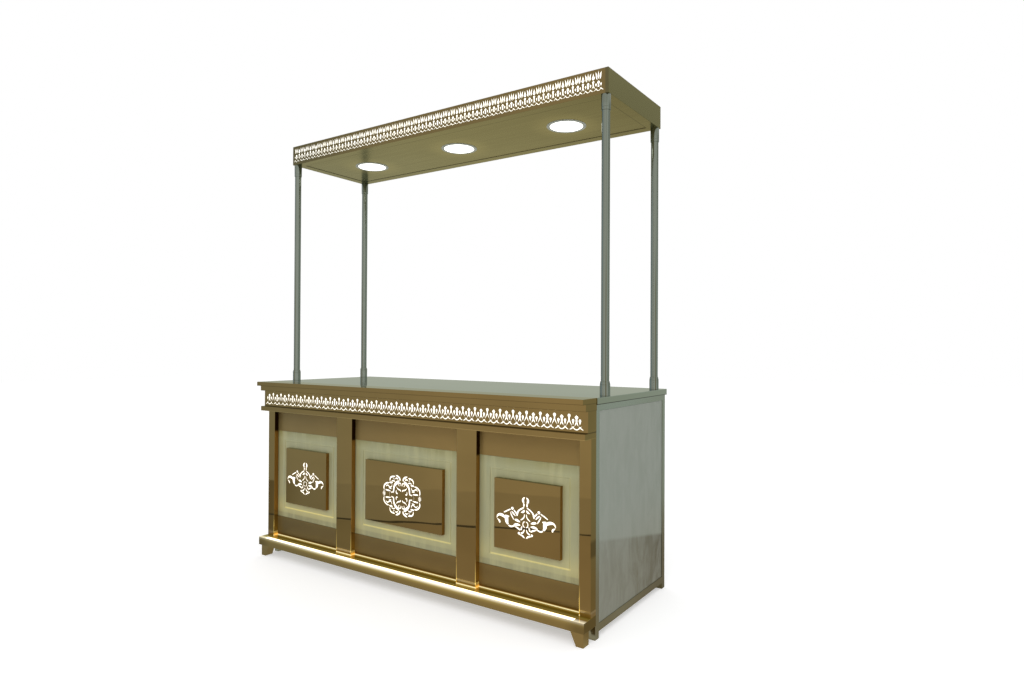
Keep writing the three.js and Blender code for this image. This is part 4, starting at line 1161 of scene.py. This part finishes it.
def studio_floor():
    """A pale floor. Mirrors see its plain tones: an open area in front, and a dimmer one at the sides."""
    floor_size = 20
    seam_slope, seam_depth = 0.3985, 1.4845
    area_slope, area_depth = 0.354, 2.431
    shape = bmesh.new()
    bmesh.ops.create_grid(shape, x_segments=1, y_segments=1, size=floor_size)
    floor = object_of("studio_floor", shape)
    paint = Paint("studio_floor")
    across = paint.axis("X")
    depth = paint.axis("Y")
    diffuse = paint.node("ShaderNodeBsdfDiffuse", None, {"Color": even(0.8)})
    lift = looks(paint, "Is Camera Ray") * 0.42
    glow = paint.node("ShaderNodeEmission", None, {"Color": white, "Strength": lift})
    seen = paint.node("ShaderNodeAddShader", None, {0: diffuse.outputs[0], 1: glow.outputs[0]})
    heading = (camera_place.x - across) / (camera_image - depth)
    from_seam = depth + across * seam_slope + seam_depth
    from_area = depth + across * area_slope + area_depth
    near_tone = paint.scale(heading, [
        (0.5, (0.8, 0.75, 0.69, 1)), (0.9, (0.8, 0.74, 0.68, 1)), (1.1, (0.74, 0.7, 0.62, 1)),
        (1.25, (0.7, 0.65, 0.56, 1)), (1.4, (0.58, 0.52, 0.44, 1)),
    ])
    middle_tone = paint.scale(heading, [
        (0.5, even(0.85)), (1.27, even(0.85)), (1.33, (0.72, 0.68, 0.6, 1)), (1.385, (0.55, 0.48, 0.38, 1)),
    ])
    front = paint.blend(paint.ramp(from_seam, 0.0, 0.05), middle_tone, near_tone)
    front = paint.blend(paint.ramp(depth, -0.64, -0.52), front, even(0.98))
    front = paint.blend(paint.below(from_area, -0.03, 0.03), front, white)
    front = paint.blend(paint.band(from_seam, -0.016, 0.016, 0.008), front, even(0.2))
    front = paint.tint(front, paint.blend(paint.ramp(heading, 0.5, 1.5), white, left_tone))
    beside = paint.blend(paint.ramp(across, 1.05, 1.9), (0.48, 0.44, 0.34, 1), right_tone)
    back = paint.blend(paint.ramp(across, -1.2, 0.6), (0.6, 0.58, 0.46, 1), beside)
    room = paint.blend(paint.ramp(depth, -0.42, -0.2), front, back)
    mirrored_floor = paint.node("ShaderNodeEmission", None, {"Color": room, "Strength": 1.0})
    either = paint.node("ShaderNodeMixShader", None, {
        0: looks(paint, "Is Glossy Ray"), 1: seen.outputs[0], 2: mirrored_floor.outputs[0],
    })
    paint.node("ShaderNodeOutputMaterial", None, {0: either.outputs[0]})
    floor.data.materials.append(paint.owner)


def studio_world():
    """White to the camera, a soft light on the object, and a room with a dimmer right side in mirrors."""
    paint = Paint("studio", bpy.data.worlds)
    where = paint.node("ShaderNodeTexCoord").outputs["Generated"]
    ray = paint.node("ShaderNodeSeparateXYZ", None, {0: where})
    rightwards, onwards, upwards = (Value(paint, ray.outputs[axis]) for axis in range(3))
    heading = rightwards / (onwards - 0.001)
    front = paint.blend(paint.ramp(heading, 0.5, 1.5), white, left_tone)
    right = paint.blend(paint.ramp(upwards, 0.1, 0.3), right_tone, (0.54, 0.55, 0.5, 1))
    back = paint.blend(paint.ramp(rightwards, -0.4, 0.2), (0.42, 0.45, 0.37, 1), right)
    room = paint.blend(paint.ramp(onwards, -0.1, 0.2), front, back)
    room = paint.blend(paint.ramp(upwards, 0.3, 0.5), room, ceiling_tone)
    light = paint.blend(looks(paint, "Is Camera Ray"), even(0.8), white)
    light = paint.blend(looks(paint, "Is Glossy Ray"), light, room)
    background = paint.node("ShaderNodeBackground", None, {"Color": light, "Strength": 1.0})
    paint.node("ShaderNodeOutputWorld", None, {0: background.outputs[0]})
    bpy.context.scene.world = paint.owner


def softbox(name, place, aim, size, power):
    """A square lamp that mirrors don't see."""
    lamp = bpy.data.lights.new(name, "AREA")
    lamp.shape = "SQUARE"
    lamp.size = size
    lamp.energy = power
    made = bpy.data.objects.new(name, lamp)
    made.location = place
    made.rotation_euler = (Vector(aim) - Vector(place)).to_track_quat("-Z", "Y").to_euler()
    made.visible_glossy = False
    collection.objects.link(made)


studio_floor()
studio_world()
softbox("softbox_front", place=(2.5, -4.5, 4.5), aim=(0, 0, 0.9), size=3.0, power=100)
bpy.context.scene.view_settings.view_transform = "Standard"
